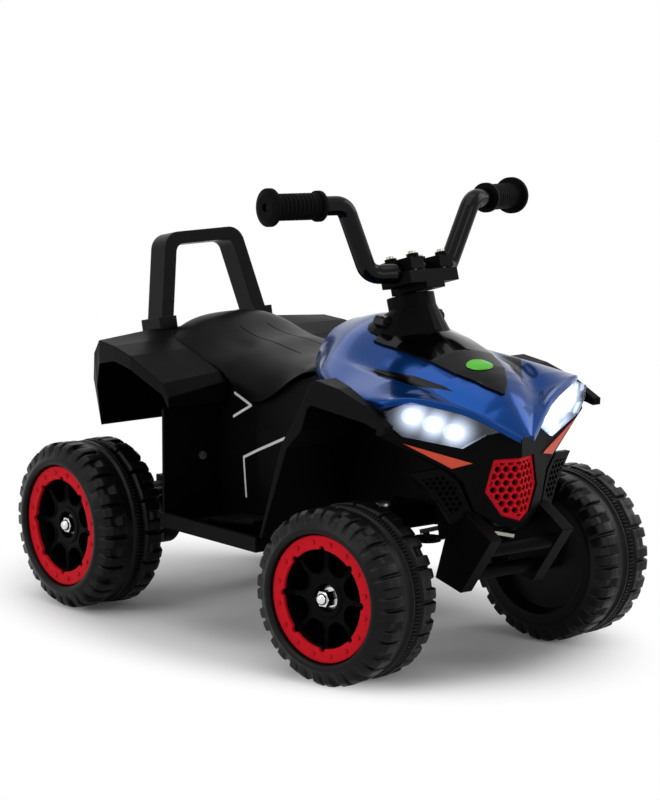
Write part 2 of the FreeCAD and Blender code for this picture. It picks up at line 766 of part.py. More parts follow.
bar_end = V(bar_end_x, front_axle_y + bar_end_setback, above(bar_end_share))
bar_shoulder = V(bar_shoulder_x, front_axle_y + bar_shoulder_setback, above(bar_shoulder_share))
bar_knee = V(bar_knee_x, front_axle_y + bar_knee_setback, above(bar_knee_share))
half_bar = [bar_end, bar_shoulder, bar_knee, V(bar_entry_x, bar_clamp_y, bar_clamp_z)]
bar_points = half_bar + [V(-p.x, p.y, p.z) for p in reversed(half_bar)]
bar_wire = bent_path(bar_points, bar_bend_radius)
bar_start = (bar_points[1] - bar_points[0]).normalize()
bar_section = Part.Wire(Part.makeCircle(bar_radius, bar_points[0], bar_start))
bar = bar_wire.makePipeShell([bar_section], True, True)
save("handlebar", steered(bar))


def make_grip():
    back = (bar_shoulder - bar_end).normalize()
    length = (bar_end_x - bar_grip_x) / -back.x
    outline = [(bar_radius, 0), (grip_inner_flange_radius, 0), (grip_inner_flange_radius, grip_flange)]
    pitch = (length - grip_flange * 2) / grip_ribs
    for k in range(grip_ribs):
        foot = grip_flange + k * pitch
        edge = foot + pitch * grip_rib_share
        outline += [(grip_radius, foot), (grip_radius, edge)]
        outline += [(grip_rib_radius, edge), (grip_rib_radius, foot + pitch)]
    outline += [(grip_outer_flange_radius, length - grip_flange), (grip_outer_flange_radius, length)]
    outline += [(grip_radius, length + grip_cap), (axle_radius, length + grip_cap), (axle_radius, length)]
    outline += [(bar_radius, length)]
    grip = face_of([V(r, 0, z) for r, z in outline]).revolve(V(0, 0, 0), Z, 360)
    grip.Placement = FreeCAD.Placement(bar_end + back * length, FreeCAD.Rotation(Z, back * -1))
    return grip


grip = make_grip()
save("grips", steered(Part.makeCompound([grip, mirrored(grip)])))

clamp = box(-clamp_width / 2, clamp_width / 2, -clamp_depth / 2, clamp_depth / 2,
            -clamp_height, -clamp_gap / 2)
stem = box(-stem_half, stem_half, -clamp_depth / 2, stem_rear, -stem_drop, -clamp_gap / 2)
bar_run = rod(bar_radius, V(-clamp_width, 0, 0), X, clamp_width * 2)
cap = box(clamp_cap_inner, clamp_cap_outer, -clamp_depth / 2, clamp_depth / 2, clamp_gap / 2, clamp_height)
cap_middle = (clamp_cap_inner + clamp_cap_outer) / 2
screw_places = [V(cap_middle, y, 0) for y in (-clamp_screw_y, clamp_screw_y)]
cap = join([cap] + [rod(clamp_boss_radius, p + Z * clamp_height, Z, clamp_boss) for p in screw_places])
shank = clamp_height * 2 + clamp_boss - clamp_screw_head
screws = []
for place in screw_places:
    head = place + Z * (clamp_height + clamp_boss)
    screws.append(join([rod(clamp_screw_radius, head - Z * shank, Z, shank),
                        rod(clamp_screw_head_radius, head, Z, clamp_screw_head)]))
screws = Part.makeCompound(screws + [mirrored(screw) for screw in screws])
caps = Part.makeCompound([cap, mirrored(cap)]).cut(bar_run).cut(screws)
column_run = rod(column_radius, V(0, -bar_back, -stem_drop), Z, column_rise)
base = join([clamp, stem]).cut(bar_run).cut(screws).cut(column_run)
save("clamp_base", steered(raked(base, bar_centre)))
save("clamp_caps", steered(raked(caps, bar_centre)))
save("clamp_screws", steered(raked(screws, bar_centre)))


# Body shells
def ridge_section(y, half, curved):
    """Closed section at y from a half outline, crown to lower edge; its first points may lie on one curve."""
    left = [V(x, y, z) for x, z in half]
    right = [V(-x, y, z) for x, z in half]
    if not curved:
        return Part.makePolygon(left + right[:0:-1] + left[:1])
    crown = Part.BSplineCurve()
    crown.interpolate(right[curved - 1:0:-1] + left[:curved])
    corners = left[curved - 1:] + right[:curved - 2:-1]
    return Part.Wire([crown.toShape()] + Part.makePolygon(corners).Edges)


def loft(table, curved=0):
    sections = [ridge_section(along(y), front_points(half), curved) for y, half in table]
    return Part.makeLoft(sections, True, not curved)


def loft_inside(table, wall, curved=0):
    """Hollow of a loft, one wall inside it and open below."""
    rows = sorted(table)
    sections = []
    for k, (share, half) in enumerate(rows):
        inward = wall if k == 0 else -wall if k == len(rows) - 1 else 0
        points = front_points(half)
        edge = max(x for x, z in points)
        shrink = max(edge - wall, edge / 2) / edge
        inside = [(x * shrink, z - wall) for x, z in points]
        inside.append((points[-1][0] * shrink, points[-1][1] - overrun))
        sections.append(ridge_section(along(share) + inward, inside, curved))
    return Part.makeLoft(sections, True, not curved)


def with_middles(table):
    """Rows of a table with one more between each two, on the curve through four neighbours."""
    rows = []
    for k, (y, half) in enumerate(table[:-1]):
        around_it = [table[max(k - 1, 0)], table[k], table[k + 1], table[min(k + 2, len(table) - 1)]]
        points = zip(*(row[1] for row in around_it))
        middle = [tuple((b + c) / 2 + (b + c - a - d) * curve_share for a, b, c, d in zip(*four))
                  for four in points]
        rows += [(y, half), ((y + table[k + 1][0]) / 2, middle)]
    return rows + [table[-1]]


def upright(points):
    """Prism from the ground up over a plan outline."""
    return face_of([V(x, y, 0) for x, y in points]).extrude(V(0, 0, bar_clamp_z))


def plan_band(front, back):
    """Upright band that follows the V plan of the nose, between two depths behind it."""
    half = plan_points(plan_shares)
    plan = [(-x, y) for x, y in reversed(half[1:])] + half
    return upright([(x, y + front) for x, y in plan] + [(x, y + back) for x, y in reversed(plan)])


def both(shape):
    return [shape, mirrored(shape)]


seat_solid = loft(seat_shares, seat_curve)
seat = main_solid(seat_solid.cut(loft_inside(seat_shares, seat_wall, seat_curve)))
save("seat", seat)

deck_solid = loft(deck_shares)
deck = deck_solid.cut(loft_inside(deck_shares, deck_wall))
deck = main_solid(deck.cut(seat_solid))
save("rear_deck", deck)

lean = math.degrees(math.atan2(hoop_lean, hoop_height))
hoop_rise = math.hypot(hoop_lean, hoop_height)
leg_in = (hoop_base_half - hoop_top_half) / hoop_rise
foot = hoop_corner * 2


def hoop_outline(inset, top, corner):
    width = hoop_base_half - inset + leg_in * foot
    crown = hoop_base_half - inset - leg_in * top
    points = [V(width, 0, -foot), V(crown, 0, top), V(-crown, 0, top), V(-width, 0, -foot)]
    path = Part.Wire(bent_path(points, corner).Edges + [Part.makeLine(points[-1], points[0])])
    return Part.Face(path)


outer_face = hoop_outline(0, hoop_rise, hoop_corner)
inner_face = hoop_outline(hoop_leg, hoop_rise - hoop_bar, hoop_inner_corner)
hoop = outer_face.extrude(V(0, hoop_depth, 0)).cut(inner_face.extrude(V(0, hoop_depth, 0)))
hoop_collar = box(hoop_base_half - hoop_leg - hoop_socket, hoop_base_half + hoop_socket, -hoop_socket,
                  hoop_depth + hoop_socket, -foot, hoop_socket_height)
hoop = turned(join([hoop] + both(hoop_collar)), V(0, 0, 0), X, -lean)
hoop = moved(hoop, V(0, hoop_base_y, hoop_base_z))
below_deck = deck_solid.fuse(moved(deck_solid, V(0, 0, -foot))).fuse(seat_solid)
hoop = main_solid(hoop.cut(below_deck).cut(deck))
save("rear_hoop", hoop)

hood_rows = with_middles(hood_shares)
hood_solid = loft(hood_rows)
column_clear = rod(column_hole_radius, column_foot, column_up, bar_clamp_z)
hood = main_solid(hood_solid.cut(loft_inside(hood_rows, hood_wall)).cut(seat_solid).cut(column_clear))
save("hood", hood)

wedge_half = plan_points(panel_shares)
wedge = upright(wedge_half + [(-x, y) for x, y in reversed(wedge_half[:-1])])
panel_top = moved(hood_solid, V(0, 0, panel_rise))
badge_top = moved(hood_solid, V(0, 0, panel_rise + badge_rise))
panel_column = rod(shroud_base_half / 2, column_foot, column_up, bar_clamp_z)
panel = main_solid(panel_top.common(wedge).cut(hood_solid).cut(panel_column))
oval = Part.Ellipse(V(0, along(badge_place_share), 0), badge_half_width, badge_half_length).toShape()
oval = Part.Face(Part.Wire(oval)).extrude(V(0, 0, bar_clamp_z))
badge = main_solid(badge_top.common(oval).cut(panel_top))


def shroud_form(shrink, top):
    """Cone from an oval foot on the hood up to the round collar on the column."""
    angles = [2 * math.pi * k / shroud_sides for k in range(shroud_sides)]
    low = [V((shroud_base_half - shrink) * math.cos(a),
             shroud_base_y + (shroud_base_length - shrink) * math.sin(a), shroud_base_z) for a in angles]
    centre = column_foot + column_up * top
    round_radius = shroud_collar_radius - shrink
    high = [centre + X * (round_radius * math.cos(a)) + column_back * (round_radius * math.sin(a))
            for a in angles]
    return Part.makeLoft([Part.makePolygon(ring + [ring[0]]) for ring in (low, high)], True, True)


collar_top = bar_height - stem_drop - loose_gap * 2
cone = shroud_form(0, collar_top - shroud_collar)
collar_foot = column_foot + column_up * (collar_top - shroud_collar)
collar = rod(shroud_collar_radius, collar_foot, column_up, shroud_collar)
inside = shroud_form(shroud_wall, collar_top - shroud_collar - shroud_wall)
boss = box(switch_x - switch_boss, switch_x + switch_boss, switch_y - switch_length, switch_y + switch_length,
           shroud_base_z, switch_z + switch_cut)
bosses = Part.makeCompound(both(boss)).common(cone)
shroud = join([cone.cut(inside), collar, bosses]).cut(hood_solid).cut(panel)
shroud = shroud.cut(rod(column_radius + running_gap, column_foot, column_up, bar_clamp_z))
for side, name in sides:
    drum = V(side * switch_x, switch_y - switch_length / 2, switch_z)
    socket = rod(switch_radius + switch_socket_gap, drum - Y * switch_socket_gap, Y,
                 switch_length + switch_socket_gap * 2)
    pivot = rod(switch_pin_radius + running_gap, drum - Y * switch_pin, Y, switch_length + switch_pin * 2)
    shroud = shroud.cut(socket).cut(pivot)
    key = box(side * switch_x - switch_key / 2, side * switch_x + switch_key / 2,
              switch_y - switch_key_length / 2, switch_y + switch_key_length / 2,
              switch_z, switch_z + switch_radius + switch_key)
    key = turned(key, V(side * switch_x, switch_y, switch_z), Y, side * switch_key_turn)
    rocker = join([rod(switch_radius, drum, Y, switch_length), key,
                   rod(switch_pin_radius, drum - Y * switch_pin, Y, switch_length + switch_pin * 2)])
    save("power_switch" if side < 0 else "direction_switch", rocker)
shroud = main_solid(shroud)
save("steering_shroud", shroud)
save("nose_panel", panel)
save("hood_badge", badge)

# Nose: fascia, grille, lamps, vents and bumper
fascia_half = front_prism(fascia_shares)
fascia = join(both(fascia_half)).common(plan_band(0, fascia_depth))
grille_hole = join(both(front_prism(grille_shares)))
reflector = front_prism(reflector_shares).common(plan_band(reflector_front, reflector_back))
reflectors = Part.makeCompound(both(reflector))
fascia = fascia.cut(grille_hole).cut(reflectors).cut(hood)
fascia = main_solid(fascia)
save("front_fascia", fascia)
save("reflectors", reflectors)


def hex_holes(cell, web, centre_shares, half_span):
    """Field of hexagonal holes along Y round a centre."""
    row_step = cell * math.sqrt(3) / 2
    count = math.ceil(half_span / row_step)
    (x0, z0), = front_points([centre_shares])
    hole = turned(hex_prism((cell - web) / math.sqrt(3), 0, overall_length), V(0, 0, 0), Z, -90)
    places = [(row, column) for row in range(-count, count + 1) for column in range(-count, count + 1)]
    return Part.makeCompound([moved(hole, V(x0 + (column + (row % 2) / 2) * cell, 0, z0 + row_step * row))
                              for row, column in places])


def shrunk(shares, centre_shares, rim_share):
    x0, z0 = centre_shares
    return [(x0 + (x - x0) * rim_share, z0 + (z - z0) * rim_share) for x, z in shares]


grille_height = front_points(grille_shares)[0][1] - front_points(grille_shares)[-1][1]
grille_window = join(both(front_prism(shrunk(grille_shares, grille_centre_shares, grille_rim_share))))
grille_mesh = hex_holes(grille_cell, grille_web, grille_centre_shares, grille_height / 2)
grille_mesh = grille_mesh.common(grille_window)
grille = grille_hole.common(plan_band(grille_front, grille_back)).cut(grille_mesh)
save("grille_insert", main_solid(grille))

lens_prism = front_prism(lens_shares)
lens = lens_prism.common(plan_band(lens_front, lens_back)).cut(hood)
save("headlight_lenses", Part.makeCompound(both(main_solid(lens))))
led_cells = []
for k in range(leds):
    x = across(led_first_share) + led_step * k
    z = above(led_height_share) + led_step * k * led_rise_share
    cell = rod(led_radius, V(x, -overall_length, z), Y, overall_length * 2)
    led_cells.append(main_solid(cell.common(plan_band(lens_back, led_back))))
save("led_modules", Part.makeCompound(led_cells + [mirrored(cell) for cell in led_cells]))
housing = main_solid(lens_prism.common(plan_band(led_back, housing_back)).cut(hood).cut(fascia))
housings = Part.makeCompound(both(housing))
save("headlight_housings", housings)
vent = front_prism(vent_shares).common(plan_band(0, vent_depth)).cut(fascia).cut(reflectors)
vent_height = front_points(vent_shares)[0][1] - front_points(vent_shares)[-2][1]
vent_window = front_prism(shrunk(vent_shares, vent_centre_shares, vent_rim_share))
vent = vent.cut(hex_holes(vent_cell, vent_web, vent_centre_shares, vent_height / 2).common(vent_window))
vents = Part.makeCompound(both(main_solid(vent)))
save("side_vents", vents)

# Main body
def cabin_section(share, half, inward, wall):
    points = front_points(half)
    (top_x, top_z), (crease_x, crease_z), (low_x, low_z) = points
    y = along(share) + inward
    side = [(low_x - wall, low_z + wall), (crease_x - wall, crease_z), (top_x - wall, top_z)]
    if wall > 0:
        side.append((top_x - wall, top_z + overrun))
    ring = [V(x, y, z) for x, z in side] + [V(-x, y, z) for x, z in reversed(side)]
    return Part.makePolygon(ring + [ring[0]])


cabin = Part.makeLoft([cabin_section(y, half, 0, 0) for y, half in cabin_shares], True, True)
inset = (-body_wall, 0, body_wall)
room_sections = [cabin_section(y, half, inset[k], body_wall) for k, (y, half) in enumerate(cabin_shares)]
cabin_room = Part.makeLoft(room_sections, True, True)


def side_room(shares, half):
    face = face_of([V(-half, y, z) for y, z in side_points(shares)]).makeOffset2D(-body_wall)
    return face.extrude(V(half * 2, 0, 0))


front_box = side_prism(front_box_shares, -front_box_half, front_box_half)
front_room = side_room(front_box_shares, front_box_half - body_wall)
rear_box = side_prism(rear_box_shares, -rear_box_half, rear_box_half)
rear_room = side_room(rear_box_shares, rear_box_half - body_wall)
floor = box(floor_inner, floor_outer, floor_front, floor_rear, floor_bottom, floor_bottom + floor_thickness)
lip = box(floor_outer - floor_lip, floor_outer, floor_front, floor_rear, floor_bottom, floor_lip_top)
rib_pitch = (floor_rear - floor_rib_rear_gap - floor_front) / floor_ribs
rib_outer = floor_outer - floor_lip
ribs = [box(rib_outer - floor_rib_length, rib_outer, floor_front + rib_pitch * k,
            floor_front + rib_pitch * k + floor_rib_width,
            floor_top - floor_rib_height, floor_top + floor_rib_height)
        for k in range(1, floor_ribs + 1)]
wall_face = face_of([V(x, floor_rear - floor_thickness, z) for x, z in front_points(rear_wall_shares)])
rear_wall = wall_face.extrude(V(0, floor_thickness, 0))
bracket = box(bracket_inner, bracket_outer,
              rear_axle_y - bracket_half_depth, rear_axle_y + bracket_half_depth,
              bracket_bottom, above(rear_box_shares[0][1]) + body_wall)
side_pieces = [join([floor, lip, rear_wall, bracket] + ribs)]
body = join([cabin, front_box, rear_box] + side_pieces + [mirrored(piece) for piece in side_pieces])
body = body.cut(cabin_room).cut(front_room).cut(rear_room)
lug_z = pedal_hinge_z + pedal_barrel_radius
lugs = []
for side in (-1, 1):
    start = pedal_x + side * (pedal_half_width + side_play)
    end = start + side * pedal_lug
    lugs.append(box(min(start, end), max(start, end), pedal_hinge_y - pedal_barrel_radius,
                    pedal_hinge_y + pedal_barrel_radius, floor_top, lug_z))
pedal_span = pedal_half_width + side_play + pedal_lug
pedal_pin = rod(pedal_pin_radius, V(pedal_x - pedal_span, pedal_hinge_y, pedal_hinge_z), X, pedal_span * 2)
body = join([body, pedal_pin] + lugs)
nose_plan = [(x, y + fascia_depth) for x, y in plan_points(plan_shares)]
nose_front = upright([(-overall_length, -overall_length), (overall_length, -overall_length)]
                     + nose_plan[::-1] + [(-x, y) for x, y in nose_plan[1:]])
axle_length = half_track + dish_x + side_play + washer_thickness + nut_height
rear_axle = rod(axle_radius, V(-axle_length, rear_axle_y, axle_z), X, axle_length * 2)
socket_foot = V(socket_face_x - socket_length, socket_y, socket_z)
flange_foot = V(socket_face_x - socket_flange, socket_y, socket_z)
socket = join([rod(socket_radius, socket_foot, X, socket_length),
               rod(socket_flange_radius, flange_foot, X, socket_flange)])
column_room = rod(column_hole_radius + loose_gap, column_foot, column_up, bar_clamp_z)
for taken in (nose_front, seat, deck, hood, hood_solid.common(column_room), housings, front_beam, column_room,
              rear_axle, socket):
    body = body.cut(taken)
screw_places = [V(side * (floor_inner + screw_inset), floor_rear - floor_thickness, above(screw_share))
                for side, name in sides]
screws = []
for place in screw_places:
    screws.append(join([rod(screw_head_radius, place - Y * screw_head, Y, screw_head),
                        rod(screw_radius, place, Y, screw_length)]))
screws = Part.makeCompound(screws)
body = main_solid(body.cut(screws))
save("main_body", body)
save("body_screws", screws)
axle_collar_start = V(wheel_stop - axle_collar, rear_axle_y, axle_z)
save("rear_axle", join([rear_axle, rod(axle_collar_radius, axle_collar_start, X, axle_collar)]))
bore_foot = V(socket_face_x - socket_bore_depth, socket_y, socket_z)
socket_bore = rod(socket_bore_radius, bore_foot, X, socket_length)
save("charge_socket", socket.cut(socket_bore))
room_floor = floor_bottom + body_wall
save("battery", box(-battery_half_width, battery_half_width, battery_rear - battery_length, battery_rear,
                    room_floor, room_floor + battery_height))

# Front fenders: arch over the wheel, top and leaning outer skirt round a pocket open on the inner side
front_centre = V(fender_inner, front_axle_y, axle_z)
arch_outer = [V(fender_inner, y, z) for y, z in side_points(arch_shares)]
arch_inner = [p + (front_centre - p).normalize() * fender_wall for p in arch_outer]
fender_top = [V(fender_inner, y, z) for y, z in side_points(fender_top_shares)]
fender_face = face_of(arch_inner + fender_top[::-1] + arch_outer[:1])
fender_width = V(fender_foot_half - fender_inner, 0, 0)
crown_z = max(p.z for p in fender_top)
outside = face_of([V(fender_foot_half, -overall_length, floor_bottom),
                   V(fender_top_half, -overall_length, crown_z),
                   V(fender_top_half, -overall_length, crown_z + overrun),
                   V(fender_foot_half + overrun, -overall_length, crown_z + overrun),
                   V(fender_foot_half + overrun, -overall_length, floor_bottom)])
outside = outside.extrude(V(0, overall_length * 2, 0))
pocket = fender_face.makeOffset2D(-fender_wall).extrude(fender_width).cut(moved(outside, X * -fender_wall))
fender = fender_face.extrude(fender_width).cut(outside).cut(pocket)
hood_edge = [(across(half[-1][0]), along(y)) for y, half in hood_rows]
hood_column = upright([(0, hood_edge[0][1])] + hood_edge + [(0, hood_edge[-1][1])])
hood_column = hood_column.cut(moved(hood_column, V(0, 0, above(fender_cut_share) - bar_clamp_z)))
nose_column = upright(nose_plan + [(nose_plan[-1][0], -overall_length), (0, -overall_length)])
for taken in (hood_column, nose_column, floor, lip, hood):
    fender = fender.cut(taken)
fender = main_solid(fender)
save("front_fender_left", fender)
save("front_fender_right", mirrored(fender))

# Bumper
tusk_points = [V(tusk_inner, front_axle_y - nose_reach * reach, above(height))
               for reach, height in tusk_shares]
tusk = face_of(tusk_points).extrude(V(tusk_outer - tusk_inner, 0, 0))
u_bar = rod(bumper_bar_radius, V(-tusk_inner, bumper_bar_y, bumper_bar_z), X, tusk_inner * 2)
low_bar = rod(bumper_bar_radius, V(-tusk_inner, bumper_low_y, bumper_low_z), X, tusk_inner * 2)
bumper = join(both(tusk) + [u_bar, low_bar]).cut(body).cut(fascia).cut(vents)
save("bumper", main_solid(bumper))

# Pedal
pedal_face = face_of([V(pedal_x - pedal_half_width, y, z) for y, z in (
    (pedal_hinge_y, pedal_hinge_z), (pedal_front_y, pedal_front_z - pedal_thickness),
    (pedal_front_y, pedal_front_z),
    (pedal_hinge_y, pedal_hinge_z + pedal_barrel_radius))])
tread = pedal_face.extrude(V(pedal_half_width * 2, 0, 0))
hinge = V(pedal_x - pedal_half_width, pedal_hinge_y, pedal_hinge_z)
pedal = join([tread, rod(pedal_barrel_radius, hinge, X, pedal_half_width * 2)])
pedal_bore = rod(pedal_pin_radius + running_gap, hinge - X * overrun, X, pedal_half_width * 2 + overrun * 2)
save("pedal", pedal.cut(pedal_bore))


# Gearbox and motor
def gear(module, teeth, x0, width, phase):
    """Involute spur gear about X; phase is the angle of a tooth, from +Y toward +Z."""
    pitch = module * teeth / 2
    base = pitch * math.cos(math.radians(pressure_angle))
    tip = pitch + module * gear_tip_share
    root = pitch - module * gear_root_share

    def involute(radius):
        ratio = math.sqrt(max((radius / base) ** 2 - 1, 0))
        return ratio - math.atan(ratio)

    half = math.pi / teeth / 2 - gear_backlash / pitch / 4 + involute(pitch)
    start = max(base, root)
    radii = [start + (tip - start) * k / flank_steps for k in range(flank_steps + 1)]
    flank = [(radius, half - involute(radius)) for radius in radii]
    if root < base:
        flank.insert(0, (root, half))
    points = []
    for k in range(teeth):
        middle = phase + 2 * math.pi * k / teeth
        for radius, turn in [(r, -t) for r, t in flank] + [(r, t) for r, t in reversed(flank)]:
            points.append(V(x0, radius * math.cos(middle + turn), radius * math.sin(middle + turn)))
    return face_of(points).extrude(V(width, 0, 0))


rise = math.radians(train_rise)
forward = V(0, -math.cos(rise), math.sin(rise))
output_axis = V(0, rear_axle_y, axle_z)
idler_axis = output_axis + forward * (output_module * (output_teeth + pinion_teeth) / 2)
motor_axis = idler_axis + forward * (gear_module * (wheel_teeth + pinion_teeth) / 2)
ahead = math.pi - rise
behind = -rise
output_gear = gear(output_module, output_teeth, output_x, output_width, ahead)
boss_length = half_track - half_tyre - bush_flange + output_x
output_boss = rod(output_boss_radius, V(output_x, 0, 0), -X, boss_length)
drive = moved(join([output_gear, output_boss]), output_axis)
drive_bore = rod(axle_radius + running_gap, output_axis - X * overall_length, X, overall_length * 2)
save("drive_gear", drive.cut(drive_bore))
small_gear = gear(output_module, pinion_teeth, output_x - side_play, output_width + side_play * 2,
                  behind + math.pi / pinion_teeth)
large_gear = gear(gear_module, wheel_teeth, stage_x, stage_width, ahead)
spacer_length = stage_x - output_x
spacer_radius = output_module * pinion_teeth / 2 - output_module * gear_root_share
spacer = rod(spacer_radius, V(output_x, 0, 0), X, spacer_length)
idler = join([small_gear, large_gear, spacer])
idler = idler.cut(rod(idler_pin_radius + running_gap, V(-overall_length, 0, 0), X, overall_length * 2))
save("idler_gear", moved(idler, idler_axis))
pinion_gear = gear(gear_module, pinion_teeth, stage_x - loose_gap, pinion_width,
                   behind + math.pi / pinion_teeth)
motor_shaft = rod(motor_shaft_radius, V(stage_x, 0, 0), X, motor_shaft_end - stage_x + motor_shaft_grip)
save("motor_pinion", moved(join([pinion_gear, motor_shaft]), motor_axis))
motor_x = -bracket_outer
motor = rod(motor_radius, V(motor_x, 0, 0), X, motor_length)
motor_bore = rod(motor_shaft_radius + running_gap, V(-overall_length, 0, 0), X,
                 overall_length + motor_shaft_end + motor_shaft_grip + loose_gap)
save("motor", moved(motor.cut(motor_bore), motor_axis))


def case_form(margin, x0, x1):
    output_tip = output_module * (output_teeth / 2 + gear_tip_share) + margin
    idler_tip = gear_module * (wheel_teeth / 2 + gear_tip_share) + margin
    motor_tip = gear_module * (pinion_teeth / 2 + gear_tip_share) + margin
    tips = ((output_tip, output_axis), (idler_tip, idler_axis), (motor_tip, motor_axis))
    return join([rod(radius, V(x0, axis.y, axis.z), X, x1 - x0) for radius, axis in tips])


case = case_form(case_margin + case_wall, case_outer_x, -bracket_outer)
room = case_form(case_margin, case_outer_x + case_wall, -bracket_outer - case_wall)
idler_pin = rod(idler_pin_radius, V(case_outer_x, idler_axis.y, idler_axis.z), X,
                -bracket_outer - case_outer_x)
case = join([case.cut(room), idler_pin])
case = case.cut(rod(output_boss_radius + loose_gap, V(-half_track, rear_axle_y, axle_z), X,
                    half_track + output_x))
case = case.cut(rear_axle)
shaft_hole = rod(motor_shaft_radius + loose_gap, V(-half_track + overrun, motor_axis.y, motor_axis.z), X,
                 half_track)
case = case.cut(shaft_hole)
save("gearbox_case", main_solid(case))
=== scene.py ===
import json
import math

import bpy
import numpy as np
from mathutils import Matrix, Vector


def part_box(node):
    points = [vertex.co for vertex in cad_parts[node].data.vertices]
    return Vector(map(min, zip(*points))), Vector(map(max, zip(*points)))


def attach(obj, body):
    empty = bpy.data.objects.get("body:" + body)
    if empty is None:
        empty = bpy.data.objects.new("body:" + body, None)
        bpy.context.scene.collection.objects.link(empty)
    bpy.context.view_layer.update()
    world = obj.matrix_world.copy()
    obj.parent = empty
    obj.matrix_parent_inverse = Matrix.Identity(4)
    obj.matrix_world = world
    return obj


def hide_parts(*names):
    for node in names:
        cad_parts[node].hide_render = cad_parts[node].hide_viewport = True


bl_info = {
    "name": "Kids quad bike looks",
    "version": (1, 0, 0),
    "blender": (4, 5, 0),
    "location": "View3D > Sidebar > Quad bike",
    "description": "Visible surfaces, finishes and studio of a kids quad bike around its packed parts",
    "category": "Object",
}

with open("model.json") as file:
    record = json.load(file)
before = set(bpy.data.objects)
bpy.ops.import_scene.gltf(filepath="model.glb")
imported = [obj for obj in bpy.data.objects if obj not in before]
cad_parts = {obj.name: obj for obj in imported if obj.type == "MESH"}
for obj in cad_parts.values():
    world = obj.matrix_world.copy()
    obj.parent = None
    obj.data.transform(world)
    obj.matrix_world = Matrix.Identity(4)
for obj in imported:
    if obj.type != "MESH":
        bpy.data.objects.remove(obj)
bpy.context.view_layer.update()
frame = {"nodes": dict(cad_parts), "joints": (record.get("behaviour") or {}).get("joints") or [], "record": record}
SIDES = (("right", -1.0), ("left", 1.0))
ENDS = ("front", "rear")
MM = 1000.0
# Centres of the three LED dies of the left headlight in mm, seen from the front
LED_DIES = np.array([70.9, 0.0, 281.0]) + np.arange(3)[:, None] * np.array([22.0, 0.0, 9.9])
# Middle of the range from 0 to 1, in which a noise texture really varies
MIDDLE_SPAN = {"From Min": 0.3, "From Max": 0.7}
# How fast a printed edge turns from ink to plastic, per mm
EDGE_SHARPNESS = 2.0


# Shaders
def linear(colour):
    """sRGB hex as a linear RGBA tuple."""
    parts = [int(colour[k:k + 2], 16) / 255 for k in (1, 3, 5)]
    return tuple(c / 12.92 if c <= 0.04045 else ((c + 0.055) / 1.055) ** 2.4 for c in parts) + (1.0,)


def add(tree, kind, inputs=None, out=None, **settings):
    """One shader node: inputs are constants or sockets to link; gives the node, or its output named by out."""
    node = tree.nodes.new(kind)
    for key, value in settings.items():
        setattr(node, key, value)
    for key, value in (inputs or {}).items():
        if isinstance(value, bpy.types.NodeSocket):
            tree.links.new(value, node.inputs[key])
        else:
            node.inputs[key].default_value = value
    return node if out is None else node.outputs[out]


def new_material(name):
    """Empty node material, with its tree and the object coordinates that its patterns read."""
    material = bpy.data.materials.new(name)
    material.use_nodes = True
    tree = material.node_tree
    tree.nodes.clear()
    return material, tree, add(tree, "ShaderNodeTexCoord", out="Object")


def side_point(tree, coords):
    """Object point in mm with both sides folded onto the left one."""
    axes = add(tree, "ShaderNodeSeparateXYZ", {0: coords}).outputs
    aside = add(tree, "ShaderNodeMath", {0: axes[0]}, 0, operation="ABSOLUTE")
    folded = add(tree, "ShaderNodeCombineXYZ", {0: aside, 1: axes[1], 2: axes[2]}, 0)
    return add(tree, "ShaderNodeVectorMath", {0: folded, 3: MM}, 0, operation="SCALE")


def line_mask(tree, coords, path, half_width, plane):
    """1 on a line through the points of path, 0 off it, both seen flat in a plane such as (1, 1, 0) for XY.

    The gap to a run is the distance from the point to its foot on the run, held between the run's ends."""
    point = side_point(tree, coords)
    flat = add(tree, "ShaderNodeVectorMath", {0: point, 1: plane}, 0, operation="MULTIPLY")
    corners = np.array(path, float) * plane
    mask = None
    for start, run in zip(corners, np.diff(corners, axis=0)):
        rel = add(tree, "ShaderNodeVectorMath", {0: flat, 1: tuple(start)}, 0, operation="SUBTRACT")
        share = add(tree, "ShaderNodeVectorMath", {0: rel, 1: tuple(run / (run @ run))}, "Value",
                    operation="DOT_PRODUCT")
        held = add(tree, "ShaderNodeMath", {0: share, 1: 1.0}, 0, operation="MULTIPLY", use_clamp=True)
        foot = add(tree, "ShaderNodeVectorMath", {0: tuple(run), 3: held}, 0, operation="SCALE")
        gap = add(tree, "ShaderNodeVectorMath", {0: rel, 1: foot}, "Value", operation="DISTANCE")
        inside = add(tree, "ShaderNodeMath", {0: half_width, 1: gap}, 0, operation="SUBTRACT")
        inked = add(tree, "ShaderNodeMath", {0: inside, 1: EDGE_SHARPNESS, 2: 0.5}, 0,
                    operation="MULTIPLY_ADD", use_clamp=True)
        mask = inked if mask is None else add(tree, "ShaderNodeMath", {0: mask, 1: inked}, 0,
                                              operation="MAXIMUM")
    return mask


def wedge_mask(tree, coords, corners):
    """1 inside a convex outline of (x, y) corners in mm, clockwise in plan, and 0 outside it.

    The depth is the least of the distances behind its edges."""
    point = side_point(tree, coords)
    depth = None
    for start, end in zip(corners, corners[1:] + corners[:1]):
        run = np.subtract(end, start) / math.dist(start, end)
        rel = add(tree, "ShaderNodeVectorMath", {0: point, 1: (*start, 0.0)}, 0, operation="SUBTRACT")
        gap = add(tree, "ShaderNodeVectorMath", {0: rel, 1: (run[1], -run[0], 0.0)}, "Value",
                  operation="DOT_PRODUCT")
        depth = gap if depth is None else add(tree, "ShaderNodeMath", {0: depth, 1: gap}, 0,
                                              operation="MINIMUM")
    return add(tree, "ShaderNodeMath", {0: depth, 1: EDGE_SHARPNESS}, 0, operation="MULTIPLY", use_clamp=True)


